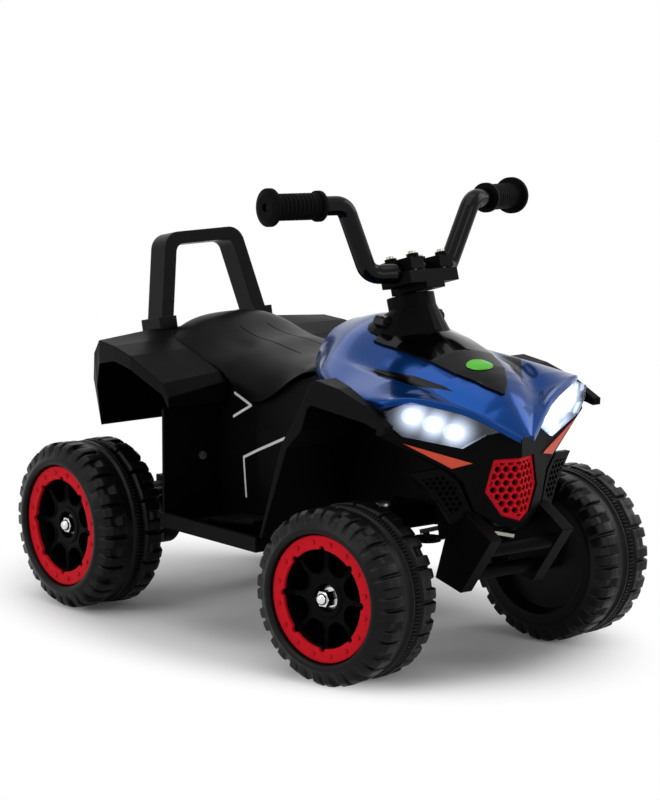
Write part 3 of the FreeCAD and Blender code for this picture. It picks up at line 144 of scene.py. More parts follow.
def moulded(name, colour, rough, grain_mm=0.7, grain=0.08, coat=0.0, metallic=0.0, drift=0.12, specular=0.03,
            prints=(), wedges=(), creases=()):
    """Injection-moulded plastic: tone and gloss drift in broad patches over a fine eroded-tool grain.

    A prints entry is a printed line (ink, path, half width, plane), a wedges entry a printed outline
    (ink, corners), and a creases entry a moulded line (path, half width) whose groove also gets painted
    shade. Grain is drawn as coarse as it needs to show; the real one is a few hundredths of a millimetre.
    Edges are broken as a tool's are."""
    material, tree, coords = new_material(name)
    patch_mm, edge_radius, grain_height, gloss_drift = 70.0, 0.0025, 0.0002, 0.15
    crease_depth, coat_rough = 0.0015, 0.06
    patch = add(tree, "ShaderNodeTexNoise", {"Vector": coords, "Scale": MM / patch_mm, "Detail": 3.0}, "Fac")
    fine = add(tree, "ShaderNodeTexNoise", {"Vector": coords, "Scale": MM / grain_mm, "Detail": 2.0}, "Fac")
    edge = add(tree, "ShaderNodeBevel", {"Radius": edge_radius}, 0, samples=4)
    normal = add(tree, "ShaderNodeBump", {"Strength": grain, "Distance": grain_height, "Height": fine,
                                          "Normal": edge}, "Normal")
    base = np.array(colour)
    shade = np.array([drift, drift, drift, 0.0])
    tone = add(tree, "ShaderNodeMix", {0: patch, 6: tuple(base * (1 - shade)), 7: tuple(base * (1 + shade))}, 2,
               data_type="RGBA")
    gloss = add(tree, "ShaderNodeMapRange", {
        "Value": patch, **MIDDLE_SPAN, "To Min": rough * (1 - gloss_drift),
        "To Max": rough * (1 + gloss_drift)}, "Result")
    for ink, path, half_width, plane in prints:
        mask = line_mask(tree, coords, path, half_width, plane)
        tone = add(tree, "ShaderNodeMix", {0: mask, 6: tone, 7: linear(ink)}, 2, data_type="RGBA")
    for ink, corners in wedges:
        mask = wedge_mask(tree, coords, corners)
        tone = add(tree, "ShaderNodeMix", {0: mask, 6: tone, 7: linear(ink)}, 2, data_type="RGBA")
        metallic = add(tree, "ShaderNodeMapRange", {"Value": mask, **MIDDLE_SPAN, "To Min": metallic,
                                                    "To Max": 0.0}, "Result")
    for path, half_width in creases:
        groove_and_painted_shade = line_mask(tree, coords, path, half_width, (1, 1, 0))
        normal = add(tree, "ShaderNodeBump", {"Strength": 0.5, "Distance": crease_depth, "Height": groove_and_painted_shade,
                                              "Normal": normal}, "Normal", invert=True)
        # painted shade: near-black colour in the groove stands in for the shade that falls in the crease
        tone = add(tree, "ShaderNodeMix", {0: groove_and_painted_shade, 6: tone, 7: linear("#020202")}, 2, data_type="RGBA")
        gloss = add(tree, "ShaderNodeMapRange", {"Value": groove_and_painted_shade, "To Min": gloss, "To Max": 1.0}, "Result")
    shader = add(tree, "ShaderNodeBsdfPrincipled", {
        "Base Color": tone, "Roughness": gloss, "Specular IOR Level": specular, "Metallic": metallic,
        "Coat Weight": coat, "Coat Roughness": coat_rough, "Normal": normal}, "BSDF")
    add(tree, "ShaderNodeOutputMaterial", {"Surface": shader})
    return material


def plated(name, colour, rough, scratch_mm):
    """Plated metal: bright reflections broken by fine drawn scratches."""
    material, tree, coords = new_material(name)
    gloss_drift = 0.3
    scratch = add(tree, "ShaderNodeTexNoise", {"Vector": coords, "Scale": MM / scratch_mm, "Detail": 4.0},
                  "Fac")
    gloss = add(tree, "ShaderNodeMapRange", {
        "Value": scratch, **MIDDLE_SPAN, "To Min": rough * (1 - gloss_drift),
        "To Max": rough * (1 + gloss_drift)}, "Result")
    shader = add(tree, "ShaderNodeBsdfPrincipled", {"Base Color": colour, "Metallic": 1.0,
                                                    "Roughness": gloss}, "BSDF")
    add(tree, "ShaderNodeOutputMaterial", {"Surface": shader})
    return material


def led_gap(tree, coords):
    """Distance in mm, seen from the front, to the nearest of the LED dies."""
    point = side_point(tree, coords)
    flat = add(tree, "ShaderNodeVectorMath", {0: point, 1: (1, 0, 1)}, 0, operation="MULTIPLY")
    nearest = None
    for die in LED_DIES:
        gap = add(tree, "ShaderNodeVectorMath", {0: flat, 1: tuple(die)}, "Value", operation="DISTANCE")
        nearest = gap if nearest is None else add(tree, "ShaderNodeMath", {0: nearest, 1: gap}, 0,
                                                  operation="MINIMUM")
    return nearest


def clear_lens():
    """Clear polycarbonate lens: mostly see-through, with a thin gloss and a painted glow round the LEDs behind it.
    """
    material, tree, coords = new_material("polycarbonate, moulded clear")
    flow_mm, glow_reach_mm, die_mm, painted_glow_fall, painted_glow_strength = 25.0, 30.0, 5.0, 2.5, 0.9
    flow = add(tree, "ShaderNodeTexNoise", {"Vector": coords, "Scale": MM / flow_mm, "Detail": 2.0}, "Fac")
    rough = add(tree, "ShaderNodeMapRange", {"Value": flow, **MIDDLE_SPAN, "To Min": 0.03, "To Max": 0.08},
                "Result")
    gloss = add(tree, "ShaderNodeBsdfGlossy", {"Color": (0.9, 0.93, 1.0, 1.0), "Roughness": rough}, 0)
    clear = add(tree, "ShaderNodeBsdfTransparent", {"Color": (0.8, 0.86, 0.95, 1.0)}, 0)
    edge = add(tree, "ShaderNodeFresnel", {"IOR": 1.45}, 0)
    glass = add(tree, "ShaderNodeMixShader", {0: edge, 1: clear, 2: gloss}, 0)
    # painted glow: the lens emits cold white light near the LED dies, fading with distance from them
    near = add(tree, "ShaderNodeMapRange", {"Value": led_gap(tree, coords), "From Min": die_mm,
                                            "From Max": glow_reach_mm, "To Min": 1.0, "To Max": 0.0}, "Result")
    fall = add(tree, "ShaderNodeMath", {0: near, 1: painted_glow_fall}, 0, operation="POWER")
    painted_glow_level = add(tree, "ShaderNodeMath", {0: fall, 1: painted_glow_strength}, 0, operation="MULTIPLY")
    glow = add(tree, "ShaderNodeEmission", {"Color": linear("#dfeaff"), "Strength": painted_glow_level}, 0)
    both = add(tree, "ShaderNodeAddShader", {0: glass, 1: glow}, 0)
    add(tree, "ShaderNodeOutputMaterial", {"Surface": both})
    return material


def lit_led():
    """LED cell switched on: a cold white glow, hottest in the middle of the die."""
    material, tree, coords = new_material("LED phosphor, lit")
    core_mm, cell_mm, core_glow, cell_glow = 1.0, 9.0, 6.0, 0.35
    near = add(tree, "ShaderNodeMapRange", {
        "Value": led_gap(tree, coords), "From Min": core_mm, "From Max": cell_mm,
        "To Min": core_glow, "To Max": cell_glow}, "Result")
    glow = add(tree, "ShaderNodeEmission", {"Color": linear("#eaf2ff"), "Strength": near}, 0)
    add(tree, "ShaderNodeOutputMaterial", {"Surface": glow})
    return material


# Graphics in mm on the left side, mirrored on the right: white lines on the side panel, seen mostly from
# the side, the double crease of the seat with painted shade in its groove and the dark slot of the hood,
# both seen from above
FLANK = (0.12, 1, 1)
PANEL_INK = "#d8d8da"
PANEL_LINE = 1.6
PANEL_LINES = (
    (PANEL_INK, ((92, 78, 274), (92, 43, 264), (92, 75, 247)), PANEL_LINE, FLANK),
    (PANEL_INK, ((92, -29, 236), (92, 51, 202), (92, 50, 155)), PANEL_LINE, FLANK))
SEAT_CREASES = ((((26, 30, 0), (24, 70, 0), (20, 158, 0)), 0.9),)
HOOD_SLOT = (("#040406", ((87, -187), (104, -216), (49, -286))),)


class FinishSettings(bpy.types.PropertyGroup):
    """Colours of the main mouldings"""
    body: bpy.props.FloatVectorProperty(
        name="Body colour", description="Colour of the body moulding", default=linear("#070708"), size=4,
        subtype="COLOR")
    hood: bpy.props.FloatVectorProperty(
        name="Hood colour", description="Colour of the hood lacquer", default=linear("#053777"), size=4,
        subtype="COLOR")
    badge: bpy.props.FloatVectorProperty(
        name="Badge colour", description="Colour of the oval badge", default=linear("#4fbf1c"), size=4,
        subtype="COLOR")
    trim: bpy.props.FloatVectorProperty(
        name="Trim colour", description="Colour of the trim rings and the grille", default=linear("#cf1a27"),
        size=4, subtype="COLOR")


# Materials by slot, filled by the finishes operator
FINISHES = {}


def make_finishes(settings):
    """The finish of every material slot of the record."""
    return {
        # Deep black with a soft sheen where faces turn away, and white line graphics
        "black_body_plastic": moulded(
            "black polypropylene, satin moulded", tuple(settings.body), rough=0.4, prints=PANEL_LINES),
        # Smoother black whose crown and flanks catch long soft lights, with painted shade along its crease
        "black_seat_plastic": moulded(
            "black polypropylene, polished tool", linear("#09090b"), rough=0.34, grain=0.05, specular=0.04,
            creases=SEAT_CREASES),
        # A shade greyer than the body, with brighter edges
        "black_hoop_plastic": moulded(
            "black polypropylene, hoop", linear("#0a0a0c"), rough=0.34, specular=0.08),
        # Saturated blue that darkens and brightens with the softboxes, as metallic lacquer does
        "blue_hood_plastic": moulded(
            "blue ABS, metallic gloss lacquer", tuple(settings.hood), rough=0.17, grain=0.02, coat=0.15,
            metallic=0.7, drift=0.06, wedges=HOOD_SLOT),
        # Near mirror black
        "gloss_black_plastic": moulded(
            "black ABS, high gloss", linear("#030304"), rough=0.12, grain=0.0, coat=0.25),
        # Bright green under a clear dome
        "green_badge_plastic": moulded(
            "green ABS, gloss domed", tuple(settings.badge), rough=0.2, grain=0.02, coat=0.6),
        # Even red with a dull sheen
        "red_trim_plastic": moulded("red polypropylene, satin moulded", tuple(settings.trim), rough=0.42),
        # See-through with a thin gloss and a painted glow round the LEDs
        "clear_lens_plastic": clear_lens(),
        # Cold white light
        "white_led_plastic": lit_led(),
        # Coarse prisms under a clear face
        "orange_reflector_plastic": moulded(
            "orange-red reflector acrylic", linear("#d9482c"), rough=0.25, grain=0.3, grain_mm=2.0, coat=0.5),
        # Waxy black: lugs show by their broad highlights
        "black_tyre_plastic": moulded(
            "black polyethylene, blow moulded", linear("#080809"), rough=0.36, grain_mm=1.0, specular=0.13),
        # Dark web behind the red ring
        "black_spoke_plastic": moulded("black polypropylene, wheel web", linear("#060607"), rough=0.36),
        # Milky white, dull
        "nylon_bush": moulded("natural nylon, turned", linear("#d6d3c8"), rough=0.4),
        # Bright mirror with a few fine marks
        "chrome_nut": plated("steel, chrome plated", linear("#d8dadc"), rough=0.12, scratch_mm=1.2),
        # Softer, slightly yellow metal
        "zinc_steel": plated("steel, zinc plated", linear("#b4b3a8"), rough=0.3, scratch_mm=0.8),
        # Smooth black coat with a faint orange peel
        "black_painted_steel": moulded(
            "steel, black gloss powder coat", linear("#050506"), rough=0.22, grain_mm=1.6, grain=0.06,
            coat=0.2),
        # Matt black that swallows the highlights
        "grip_rubber": moulded("black rubber, moulded grip", linear("#09090a"), rough=0.55, grain_mm=0.5),
        # Dull black with fibres just under the skin
        "black_clamp_plastic": moulded("black nylon, glass filled", linear("#08080a"), rough=0.45),
        # Clean ivory white
        "gear_nylon": moulded("white acetal, moulded gears", linear("#e2ddcf"), rough=0.35),
        # Flat dark grey
        "gearbox_plastic": moulded("dark nylon, gearbox", linear("#0e0e10"), rough=0.5),
        # Glassy dark grey
        "switch_plastic": moulded("black polycarbonate, rocker", linear("#151517"), rough=0.22, coat=0.4),
    }


class QUAD_OT_finishes(bpy.types.Operator):
    """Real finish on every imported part, by its material slot"""
    bl_idname = "quad.finishes"
    bl_label = "Apply finishes"

    def execute(self, context):
        FINISHES.update(make_finishes(context.scene.quad_finishes))
        for part in frame["record"]["subparts"]:
            obj = frame["nodes"][part["node"]]
            obj.data.materials.clear()
            obj.data.materials.append(FINISHES[part["material_slot"]])
        return {"FINISHED"}


# Meshes
def grid_quads(rows, columns, wrap):
    """Quads of a rows x columns vertex grid; wrap joins the last column to the first."""
    row = np.arange(rows - 1)[:, None]
    column = np.arange(columns if wrap else columns - 1)[None, :]
    after = (column + 1) % columns
    return np.stack([row * columns + column, row * columns + after,
                     (row + 1) * columns + after, (row + 1) * columns + column], -1).reshape(-1, 4)


def make_object(name, points, quads, sharp_deg=40.0):
    """Mesh object at the origin from vertex points in metres and quads, smooth but for edges over sharp_deg."""
    mesh = bpy.data.meshes.new(name)
    mesh.vertices.add(len(points))
    mesh.vertices.foreach_set("co", np.ascontiguousarray(points, dtype=np.float32).ravel())
    mesh.loops.add(quads.size)
    mesh.loops.foreach_set("vertex_index", np.ascontiguousarray(quads, dtype=np.int32).ravel())
    mesh.polygons.add(len(quads))
    mesh.polygons.foreach_set("loop_start", np.arange(0, quads.size, 4, dtype=np.int32))
    mesh.update(calc_edges=True)
    mesh.validate()
    mesh.polygons.foreach_set("use_smooth", np.ones(len(mesh.polygons), dtype=bool))
    mesh.set_sharp_from_angle(angle=math.radians(sharp_deg))
    obj = bpy.data.objects.new(name, mesh)
    bpy.context.scene.collection.objects.link(obj)
    return obj


def soft_step(value, edge, width):
    """Smooth step from 0 to 1 over width centred on edge."""
    t = np.clip((value - edge) / width + 0.5, 0.0, 1.0)
    return t * t * (3 - 2 * t)


def wheel_frame(body):
    """Centre, outward axis and two upright directions of a wheel, from its spin joint."""
    joint = next(j for j in frame["joints"] if j["child"] == body)
    side = -1.0 if body.endswith("right") else 1.0
    axis = np.array(joint["axis"], float) * side
    up = np.array([0.0, 0.0, 1.0])
    return np.array(joint["pos_m"], float), axis, np.cross(up, axis), up


def turned_object(name, body, x, r, turns, sharp_deg):
    """Closed ring on a wheel from grids of axle places x and radii r over angles: centre, x out, r round."""
    centre, axis, ahead, up = wheel_frame(body)
    points = centre + x[..., None] * axis
    points = points + (r * np.cos(turns))[..., None] * ahead + (r * np.sin(turns))[..., None] * up
    rows, columns = r.shape
    quads = grid_quads(rows + 1, columns, True) % (rows * columns)
    return make_object(name, points.reshape(-1, 3), quads, sharp_deg)


def sheet_normals(grid):
    """Unit normals of a vertex grid, from the cross product of its row and column differences."""
    normal = np.cross(np.gradient(grid, axis=1), np.gradient(grid, axis=0))
    return normal / np.maximum(np.linalg.norm(normal, axis=-1, keepdims=True), 1e-12)


def inside_box(points, node):
    """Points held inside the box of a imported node."""
    low, high = (np.array(corner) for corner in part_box(node))
    return np.clip(points, low, high)


def make_shell(name, node, grid, thickness, keep=None):
    """Closed shell in a node's box: the outer grid, a copy one thickness behind it, and a rim round every edge.

    keep is a vertex mask; quads with a corner outside it are left out, which opens a rimmed hole."""
    rows, columns = grid.shape[:2]
    outer = grid.reshape(-1, 3)
    inner = (grid - sheet_normals(grid) * thickness).reshape(-1, 3)
    quads = grid_quads(rows, columns, False)
    if keep is not None:
        quads = quads[keep.reshape(-1)[quads].all(1)]
    edges = quads[:, [0, 1, 1, 2, 2, 3, 3, 0]].reshape(-1, 2)
    _, place, count = np.unique(np.sort(edges, 1), axis=0, return_inverse=True, return_counts=True)
    rim = edges[count[place.reshape(-1)] == 1]
    rim = np.stack([rim[:, 1], rim[:, 0], rim[:, 0] + len(outer), rim[:, 1] + len(outer)], -1)
    quads = np.concatenate([quads, quads[:, ::-1] + len(outer), rim])
    used, compact = np.unique(quads, return_inverse=True)
    points = inside_box(np.concatenate([outer, inner]), node)[used]
    return make_object(name, points, compact.reshape(-1, 4), sharp_deg=50.0)


def curve_through(points, count):
    """Catmull-Rom curve through the rows of points, with count samples spread evenly over its spans."""
    points = np.asarray(points, float)
    padded = np.concatenate([2 * points[:1] - points[1:2], points, 2 * points[-1:] - points[-2:-1]])
    at = np.linspace(0, len(points) - 1, count)
    span = np.minimum(at.astype(int), len(points) - 2)
    t = (at - span).reshape((-1,) + (1,) * (points.ndim - 1))
    p0, p1, p2, p3 = (padded[span + k] for k in range(4))
    bend = (2 * p0 - 5 * p1 + 4 * p2 - p3) * t ** 2 + (3 * p1 - p0 - 3 * p2 + p3) * t ** 3
    return 0.5 * (2 * p1 + (p2 - p0) * t + bend)


def saddle_grid(stations, rows, columns):
    """Sheet over half sections (y, ((x, z), ...)) in metres, crown to edge: curves through them both ways."""
    half = np.array([[(x, y, z) for x, z in points] for y, points in stations], float)
    table = np.concatenate([half[:, :0:-1] * np.array([-1.0, 1.0, 1.0]), half], 1)
    lengthwise = curve_through(table, rows)
    at = np.linspace(0, len(table) - 1, rows)
    lengthwise[..., 1] = np.interp(at, np.arange(len(table)), table[:, 0, 1])[:, None]
    return np.swapaxes(curve_through(np.swapaxes(lengthwise, 0, 1), columns), 0, 1)


def column_gap(points):
    """Distance of points from the axis of the steering column."""
    joint = next(j for j in frame["joints"] if j["child"] == "steering")
    return np.linalg.norm(np.cross(points - np.array(joint["pos_m"]), np.array(joint["axis"])), axis=-1)


def dress(obj, body, slot, *nodes):
    """Finish, body and replaced nodes of a new piece."""
    obj.data.materials.append(FINISHES[slot])
    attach(obj, body)
    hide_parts(*nodes)


# Wheels
# Closed outline of the wheel shell: mm out along the axle, mm of radius, and rows up to the next corner
TYRE_OUTLINE = (
    (22, 9.02, 2), (22, 16, 2), (24, 16, 6), (24, 59, 2), (25.5, 60.6, 3), (37.4, 62, 3), (37.4, 72.2, 4),
    (45.5, 73.8, 3), (47, 75.5, 3), (47, 80, 9), (41, 90.5, 5), (35, 94.5, 8), (12, 95.5, 24), (-12, 95.5, 8),
    (-35, 94.5, 5), (-41, 90.5, 9), (-47, 80, 4), (-47, 66, 4), (-28, 62, 5), (-28, 16, 3), (-47, 16, 2),
    (-47, 9.02, 5))


class TyreSettings(bpy.types.PropertyGroup):
    """Sizes of the tyres"""
    radius: bpy.props.FloatProperty(
        name="Radius", description="Tyre radius over the lugs", default=0.1, unit="LENGTH")
    lug_depth: bpy.props.FloatProperty(
        name="Lug depth", description="Height of the lugs over the carcass", default=0.0052, unit="LENGTH")
    lugs: bpy.props.IntProperty(name="Lug pairs", description="Pairs of lugs round the tyre", default=16)
    ribs: bpy.props.IntProperty(name="Comb ribs", description="Fine ribs beside the centre ridge", default=140)
    columns: bpy.props.IntProperty(name="Columns", description="Vertices round the tyre", default=840)


def tyre_profile():
    """Outline of the wheel shell as (x, r) rows in metres: straight runs from corner to corner."""
    corners = np.array(TYRE_OUTLINE)[:, :2] / MM
    runs = zip(corners, np.roll(corners, -1, 0), TYRE_OUTLINE)
    return np.concatenate([np.linspace(a, b, corner[2], endpoint=False) for a, b, corner in runs])


def from_whole(value):
    """Distance to the nearest whole number."""
    return np.abs(value - np.round(value))


def tyre_points(settings, comb_side):
    """Tyre grid: the outline turned about the axle, its radius raised by lugs, a centre ridge and a comb.

    Each form is a product of soft steps over the place across the tread and the share of a lug pitch; the
    highest form counts, and it fades out down the side wall."""
    profile = tyre_profile()
    x, r = profile[:, :1], profile[:, 1:]
    wide = np.abs(x)
    turns = np.linspace(0, 2 * math.pi, settings.columns, endpoint=False) - math.pi / 2
    pitches = (turns / (2 * math.pi) * settings.lugs)[None, :]
    # Shares of a pitch: gap between a pair of lugs, end of a lug, end of a bridge, softness of a flank
    gap, lug_end, bridge_end, flank = 0.05, 0.36, 0.30, 0.05
    pair = soft_step(from_whole(pitches), gap, flank) * soft_step(lug_end - from_whole(pitches), 0, flank)
    bridge = soft_step(bridge_end - from_whole(pitches + 0.5), 0, flank)
    # Metres from the middle of the tread, metres over which each form rises, and heights in lug depths
    shoulder, block_in, block_out, ridge_half, comb_in, comb_out = 0.021, 0.0135, 0.0235, 0.0018, 0.0035, 0.0115
    lug_flank, block_flank, ridge_flank, comb_flank = 0.003, 0.002, 0.0012, 0.001
    bridge_height, block_height, ridge_height, comb_height = 0.75, 0.85, 0.55, 0.6
    outer = soft_step(wide, shoulder, lug_flank) * pair
    block = soft_step(wide, block_in, block_flank) * soft_step(block_out - wide, 0, block_flank)
    middle = block * np.maximum(bridge * bridge_height, pair * block_height)
    ridge = soft_step(ridge_half - wide, 0, ridge_flank) * ridge_height
    comb_at = x * comb_side
    band = soft_step(comb_at, comb_in, comb_flank) * soft_step(comb_out - comb_at, 0, comb_flank)
    wave = 0.5 + 0.5 * np.sin(turns * settings.ribs)[None, :]
    wave_middle, wave_flank = 0.5, 0.6
    comb = band * soft_step(wave, wave_middle, wave_flank) * comb_height
    raised = np.maximum.reduce([outer, middle, ridge + 0 * pair, comb])
    fade_radius, fade_width = 0.086, 0.008
    lift = raised * soft_step(r, fade_radius, fade_width) * settings.lug_depth
    radius = np.minimum(r + lift, settings.radius)
    return x + 0 * radius, radius, turns


class QUAD_OT_tyres(bpy.types.Operator):
    """Blow-moulded tyres with paired lugs, one on each wheel"""
    bl_idname = "quad.tyres"
    bl_label = "Build tyres"

    def execute(self, context):
        for end in ENDS:
            for name, side in SIDES:
                body = f"wheel_{end}_{name}"
                x, r, turns = tyre_points(context.scene.quad_tyres, side)
                tyre = turned_object(f"tyre_skin_{end}_{name}", body, x, r, turns, sharp_deg=50.0)
                dress(tyre, body, "black_tyre_plastic", f"tyre_{end}_{name}")
        return {"FINISHED"}


class SpokeSettings(bpy.types.PropertyGroup):
    """Sizes of the star covers"""
    back: bpy.props.FloatProperty(
        name="Back", description="Back of the cover from the wheel's middle", default=0.0241, unit="LENGTH")
    front: bpy.props.FloatProperty(
        name="Front", description="Front of the cover from the wheel's middle", default=0.034, unit="LENGTH")
    inner: bpy.props.FloatProperty(
        name="Inner radius", description="Radius of the hub hole", default=0.016, unit="LENGTH")
    outer: bpy.props.FloatProperty(
        name="Outer radius", description="Radius of the rim", default=0.058, unit="LENGTH")
    hollow: bpy.props.FloatProperty(
        name="Hollow", description="Radius of the round hollows", default=0.01357, unit="LENGTH")
    hollow_at: bpy.props.FloatProperty(
        name="Hollow place", description="Radius where the hollows sit", default=0.04257, unit="LENGTH")
    spoke: bpy.props.FloatProperty(
        name="Spoke half width", description="Half width of a spoke at its narrow part", default=0.0028,
        unit="LENGTH")
    rib: bpy.props.FloatProperty(
        name="Rib", description="Width of the raised edge of the star", default=0.0019, unit="LENGTH")
    recess: bpy.props.FloatProperty(
        name="Recess", description="Depth of the plate under its raised edge", default=0.0016, unit="LENGTH")
    spokes: bpy.props.IntProperty(name="Spokes", description="Spokes of the star", default=8)
    rings: bpy.props.IntProperty(name="Rings", description="Vertices from hub to rim", default=84)
    columns: bpy.props.IntProperty(name="Columns", description="Vertices round the cover", default=576)


def spoke_points(settings):
    """Cover grid: rings out over the front and back behind it; depth follows the distance to the star's edge.

    Between two spokes the edge is a round hollow near the hub and the straight spoke flanks further out."""
    front = np.linspace(settings.inner, settings.outer, settings.rings)
    r = np.concatenate([front, [settings.outer, settings.inner]])[:, None]
    turns = np.linspace(0, 2 * math.pi, settings.columns, endpoint=False)
    step = 2 * math.pi / settings.spokes
    turn = np.abs((turns - math.pi / 2) % step - step / 2)[None, :]
    ahead, aside = r * np.cos(turn), r * np.sin(turn)
    round_gap = np.hypot(ahead - settings.hollow_at, aside) - settings.hollow
    flank_gap = settings.spoke - r * np.sin(step / 2 - turn)
    gap = np.where(ahead > settings.hollow_at, flank_gap, round_gap)
    # Softness of the rim, the star's edge, its raised rib and the hub's collar, and the collar's width
    rim_soft, edge_soft, rib_soft, collar_soft, collar = 0.0005, 0.0006, 0.0007, 0.001, 0.006
    rim_width = settings.rib * 1.5
    rim = soft_step(r, settings.outer - rim_width, rim_soft)
    star = np.maximum(soft_step(gap, 0.0, edge_soft), rim)
    flat = soft_step(gap, settings.rib, rib_soft) * (1 - rim)
    flat = flat * soft_step(r, settings.inner + collar, collar_soft)
    x = settings.back + (settings.front - settings.back) * star - settings.recess * flat
    x[len(front):] = settings.back
    return x, r + 0 * x, turns


class QUAD_OT_spokes(bpy.types.Operator):
    """Star covers of the wheels with raised edges"""
    bl_idname = "quad.spokes"
    bl_label = "Build spoke covers"

    def execute(self, context):
        x, r, turns = spoke_points(context.scene.quad_spokes)
        for end in ENDS:
            for name, _ in SIDES:
                body = f"wheel_{end}_{name}"
                cover = turned_object(f"spoke_star_{end}_{name}", body, x, r, turns, sharp_deg=35.0)
                dress(cover, body, "black_spoke_plastic", f"spoke_cover_{end}_{name}")
        return {"FINISHED"}


# Hood: sections (y, ((x, z), ...)) and the outline (x, y) of the nose panel, with x in half body widths,
# y in wheelbases from the middle and z in waist heights over the axles, as in the part
HOOD_SHARES = (
    (-0.135, ((0, 1.36), (0.20, 1.315), (0.31, 1.23), (0.35, 1.17), (0.365, 1.13), (0.365, 1.07))),
    (-0.26, ((0, 1.42), (0.26, 1.35), (0.44, 1.25), (0.54, 1.19), (0.60, 1.13), (0.60, 1.04))),
    (-0.405, ((0, 1.36), (0.285, 1.29), (0.49, 1.20), (0.59, 1.18), (0.73, 1.10), (0.73, 1.01))),
    (-0.52, ((0, 1.27), (0.26, 1.225), (0.46, 1.145), (0.58, 1.165), (0.79, 1.10), (0.80, 1.02))),
    (-0.59, ((0, 1.20), (0.23, 1.165), (0.40, 1.10), (0.53, 1.13), (0.78, 1.10), (0.80, 1.05))),
    (-0.635, ((0, 1.135), (0.20, 1.105), (0.335, 1.05), (0.44, 1.075), (0.655, 1.11), (0.66, 1.07))),
    (-0.69, ((0, 1.03), (0.11, 1.015), (0.20, 0.985), (0.26, 1.0), (0.355, 1.04), (0.36, 1.0))),
    (-0.755, ((0, 0.88), (0.02, 0.88), (0.035, 0.875), (0.045, 0.875), (0.055, 0.875), (0.055, 0.84))))
PANEL_SHARES = ((0.335, -0.34), (0.33, -0.37), (0.28, -0.48), (0.20, -0.587), (0.087, -0.646), (0.012, -0.67))
HOOD_ROWS, HOOD_COLUMNS, WALL_ROWS = 106, 101, 12
CROWN_COLUMNS = 30
PANEL_ROWS, PANEL_COLUMNS = 70, 41
BADGE_STEPS = 49


class HoodSettings(bpy.types.PropertyGroup):
    """Sizes of the hood, its nose panel and its badge"""
    half_width: bpy.props.FloatProperty(
        name="Half width", description="Half width of the body", default=0.175, unit="LENGTH")
    wheelbase: bpy.props.FloatProperty(
        name="Wheelbase", description="Axle to axle", default=0.49, unit="LENGTH")
    middle: bpy.props.FloatProperty(
        name="Middle", description="Place of the middle of the wheelbase", default=0.0175, unit="LENGTH")
    axle: bpy.props.FloatProperty(
        name="Axle height", description="Height of the axles", default=0.1, unit="LENGTH")
    waist: bpy.props.FloatProperty(
        name="Waist height", description="Height of the waist over the axles", default=0.2, unit="LENGTH")
    wall: bpy.props.FloatProperty(name="Wall", description="Wall of the hood", default=0.0035, unit="LENGTH")
    sink: bpy.props.FloatProperty(
        name="Sink", description="Skin under the straight facets of the part", default=0.0003, unit="LENGTH")
    panel_rise: bpy.props.FloatProperty(
        name="Panel rise", description="Nose panel over the hood", default=0.003, unit="LENGTH")
    badge_rise: bpy.props.FloatProperty(
        name="Badge rise", description="Badge over the nose panel", default=0.002, unit="LENGTH")
    column_hole: bpy.props.FloatProperty(
        name="Column hole", description="Radius of the column's hole in the hood", default=0.012, unit="LENGTH")
    panel_hole: bpy.props.FloatProperty(
        name="Panel hole", description="Radius of the column's hole in the nose panel", default=0.03,
        unit="LENGTH")


def hood_grid(settings):
    """Outer skin of the hood: smooth curves through its sections, given in shares of the body sizes."""
    stations = [(settings.middle + settings.wheelbase * y,
                 [(settings.half_width * x, settings.axle + settings.waist * z) for x, z in half])
                for y, half in HOOD_SHARES]
    return saddle_grid(stations, HOOD_ROWS, HOOD_COLUMNS) - np.array([0, 0, settings.sink])


def with_rear_wall(skin):
    """Skin with a wall down from its rear edge to the level of that edge's lowest point, nose row first."""
    foot = skin[0] * np.array([1.0, 1.0, 0.0]) + np.array([0.0, 0.0, skin[0, :, 2].min()])
    rise = np.linspace(0, 1, WALL_ROWS, endpoint=False)[:, None, None]
    return np.concatenate([foot + (skin[0] - foot) * rise, skin])[::-1]


def crown_lines(skin, y, axis):
    """One coordinate of the skin at places y, for the lines that run along it from the crown outward."""
    first = HOOD_COLUMNS // 2
    half = skin[::-1, first:first + CROWN_COLUMNS]
    return np.stack([np.interp(y, half[:, 0, 1], half[:, k, axis]) for k in range(CROWN_COLUMNS)], -1)


def panel_grid(settings, skin):
    """Nose panel: its outline filled with even steps across, laid on the skin and raised."""
    plan = np.array(PANEL_SHARES) * (settings.half_width, settings.wheelbase) + (0, settings.middle)
    y = np.linspace(plan[-1, 1], plan[0, 1], PANEL_ROWS)
    half = np.interp(-y, -plan[:, 1], plan[:, 0])
    x = np.linspace(-1, 1, PANEL_COLUMNS)[None, :] * half[:, None]
    lines = zip(x, crown_lines(skin, y, 0), crown_lines(skin, y, 2))
    z = np.stack([np.interp(np.abs(row), across, height) for row, across, height in lines])
    return np.stack([x, y[:, None] + 0 * x, z + settings.panel_rise], -1)


def badge_grid(settings, skin):
    """Domed oval: a square grid drawn round to a disc, laid on the skin, with a half ellipsoid for its rise."""
    low, high = (np.array(corner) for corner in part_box("hood_badge"))
    middle, reach = (low + high) / 2, (high - low) / 2
    steps = np.linspace(-1, 1, BADGE_STEPS)
    u, v = np.meshgrid(steps, steps)
    x, y = u * np.sqrt(1 - v ** 2 / 2), v * np.sqrt(1 - u ** 2 / 2)
    bulge = np.sqrt(np.clip(1 - x ** 2 - y ** 2, 0, 1))
    x, y = middle[0] + reach[0] * x, middle[1] + reach[1] * y
    across, height = crown_lines(skin, middle[1], 0), crown_lines(skin, middle[1], 2)
    crown = crown_lines(skin, y, 2)[..., 0]
    drop = np.interp(np.abs(x), across, height[0] - height)
    rim_share = 0.5
    rise = settings.panel_rise + settings.badge_rise * (rim_share + (1 - rim_share) * bulge)
    return np.stack([x, y, crown - drop + rise], -1)


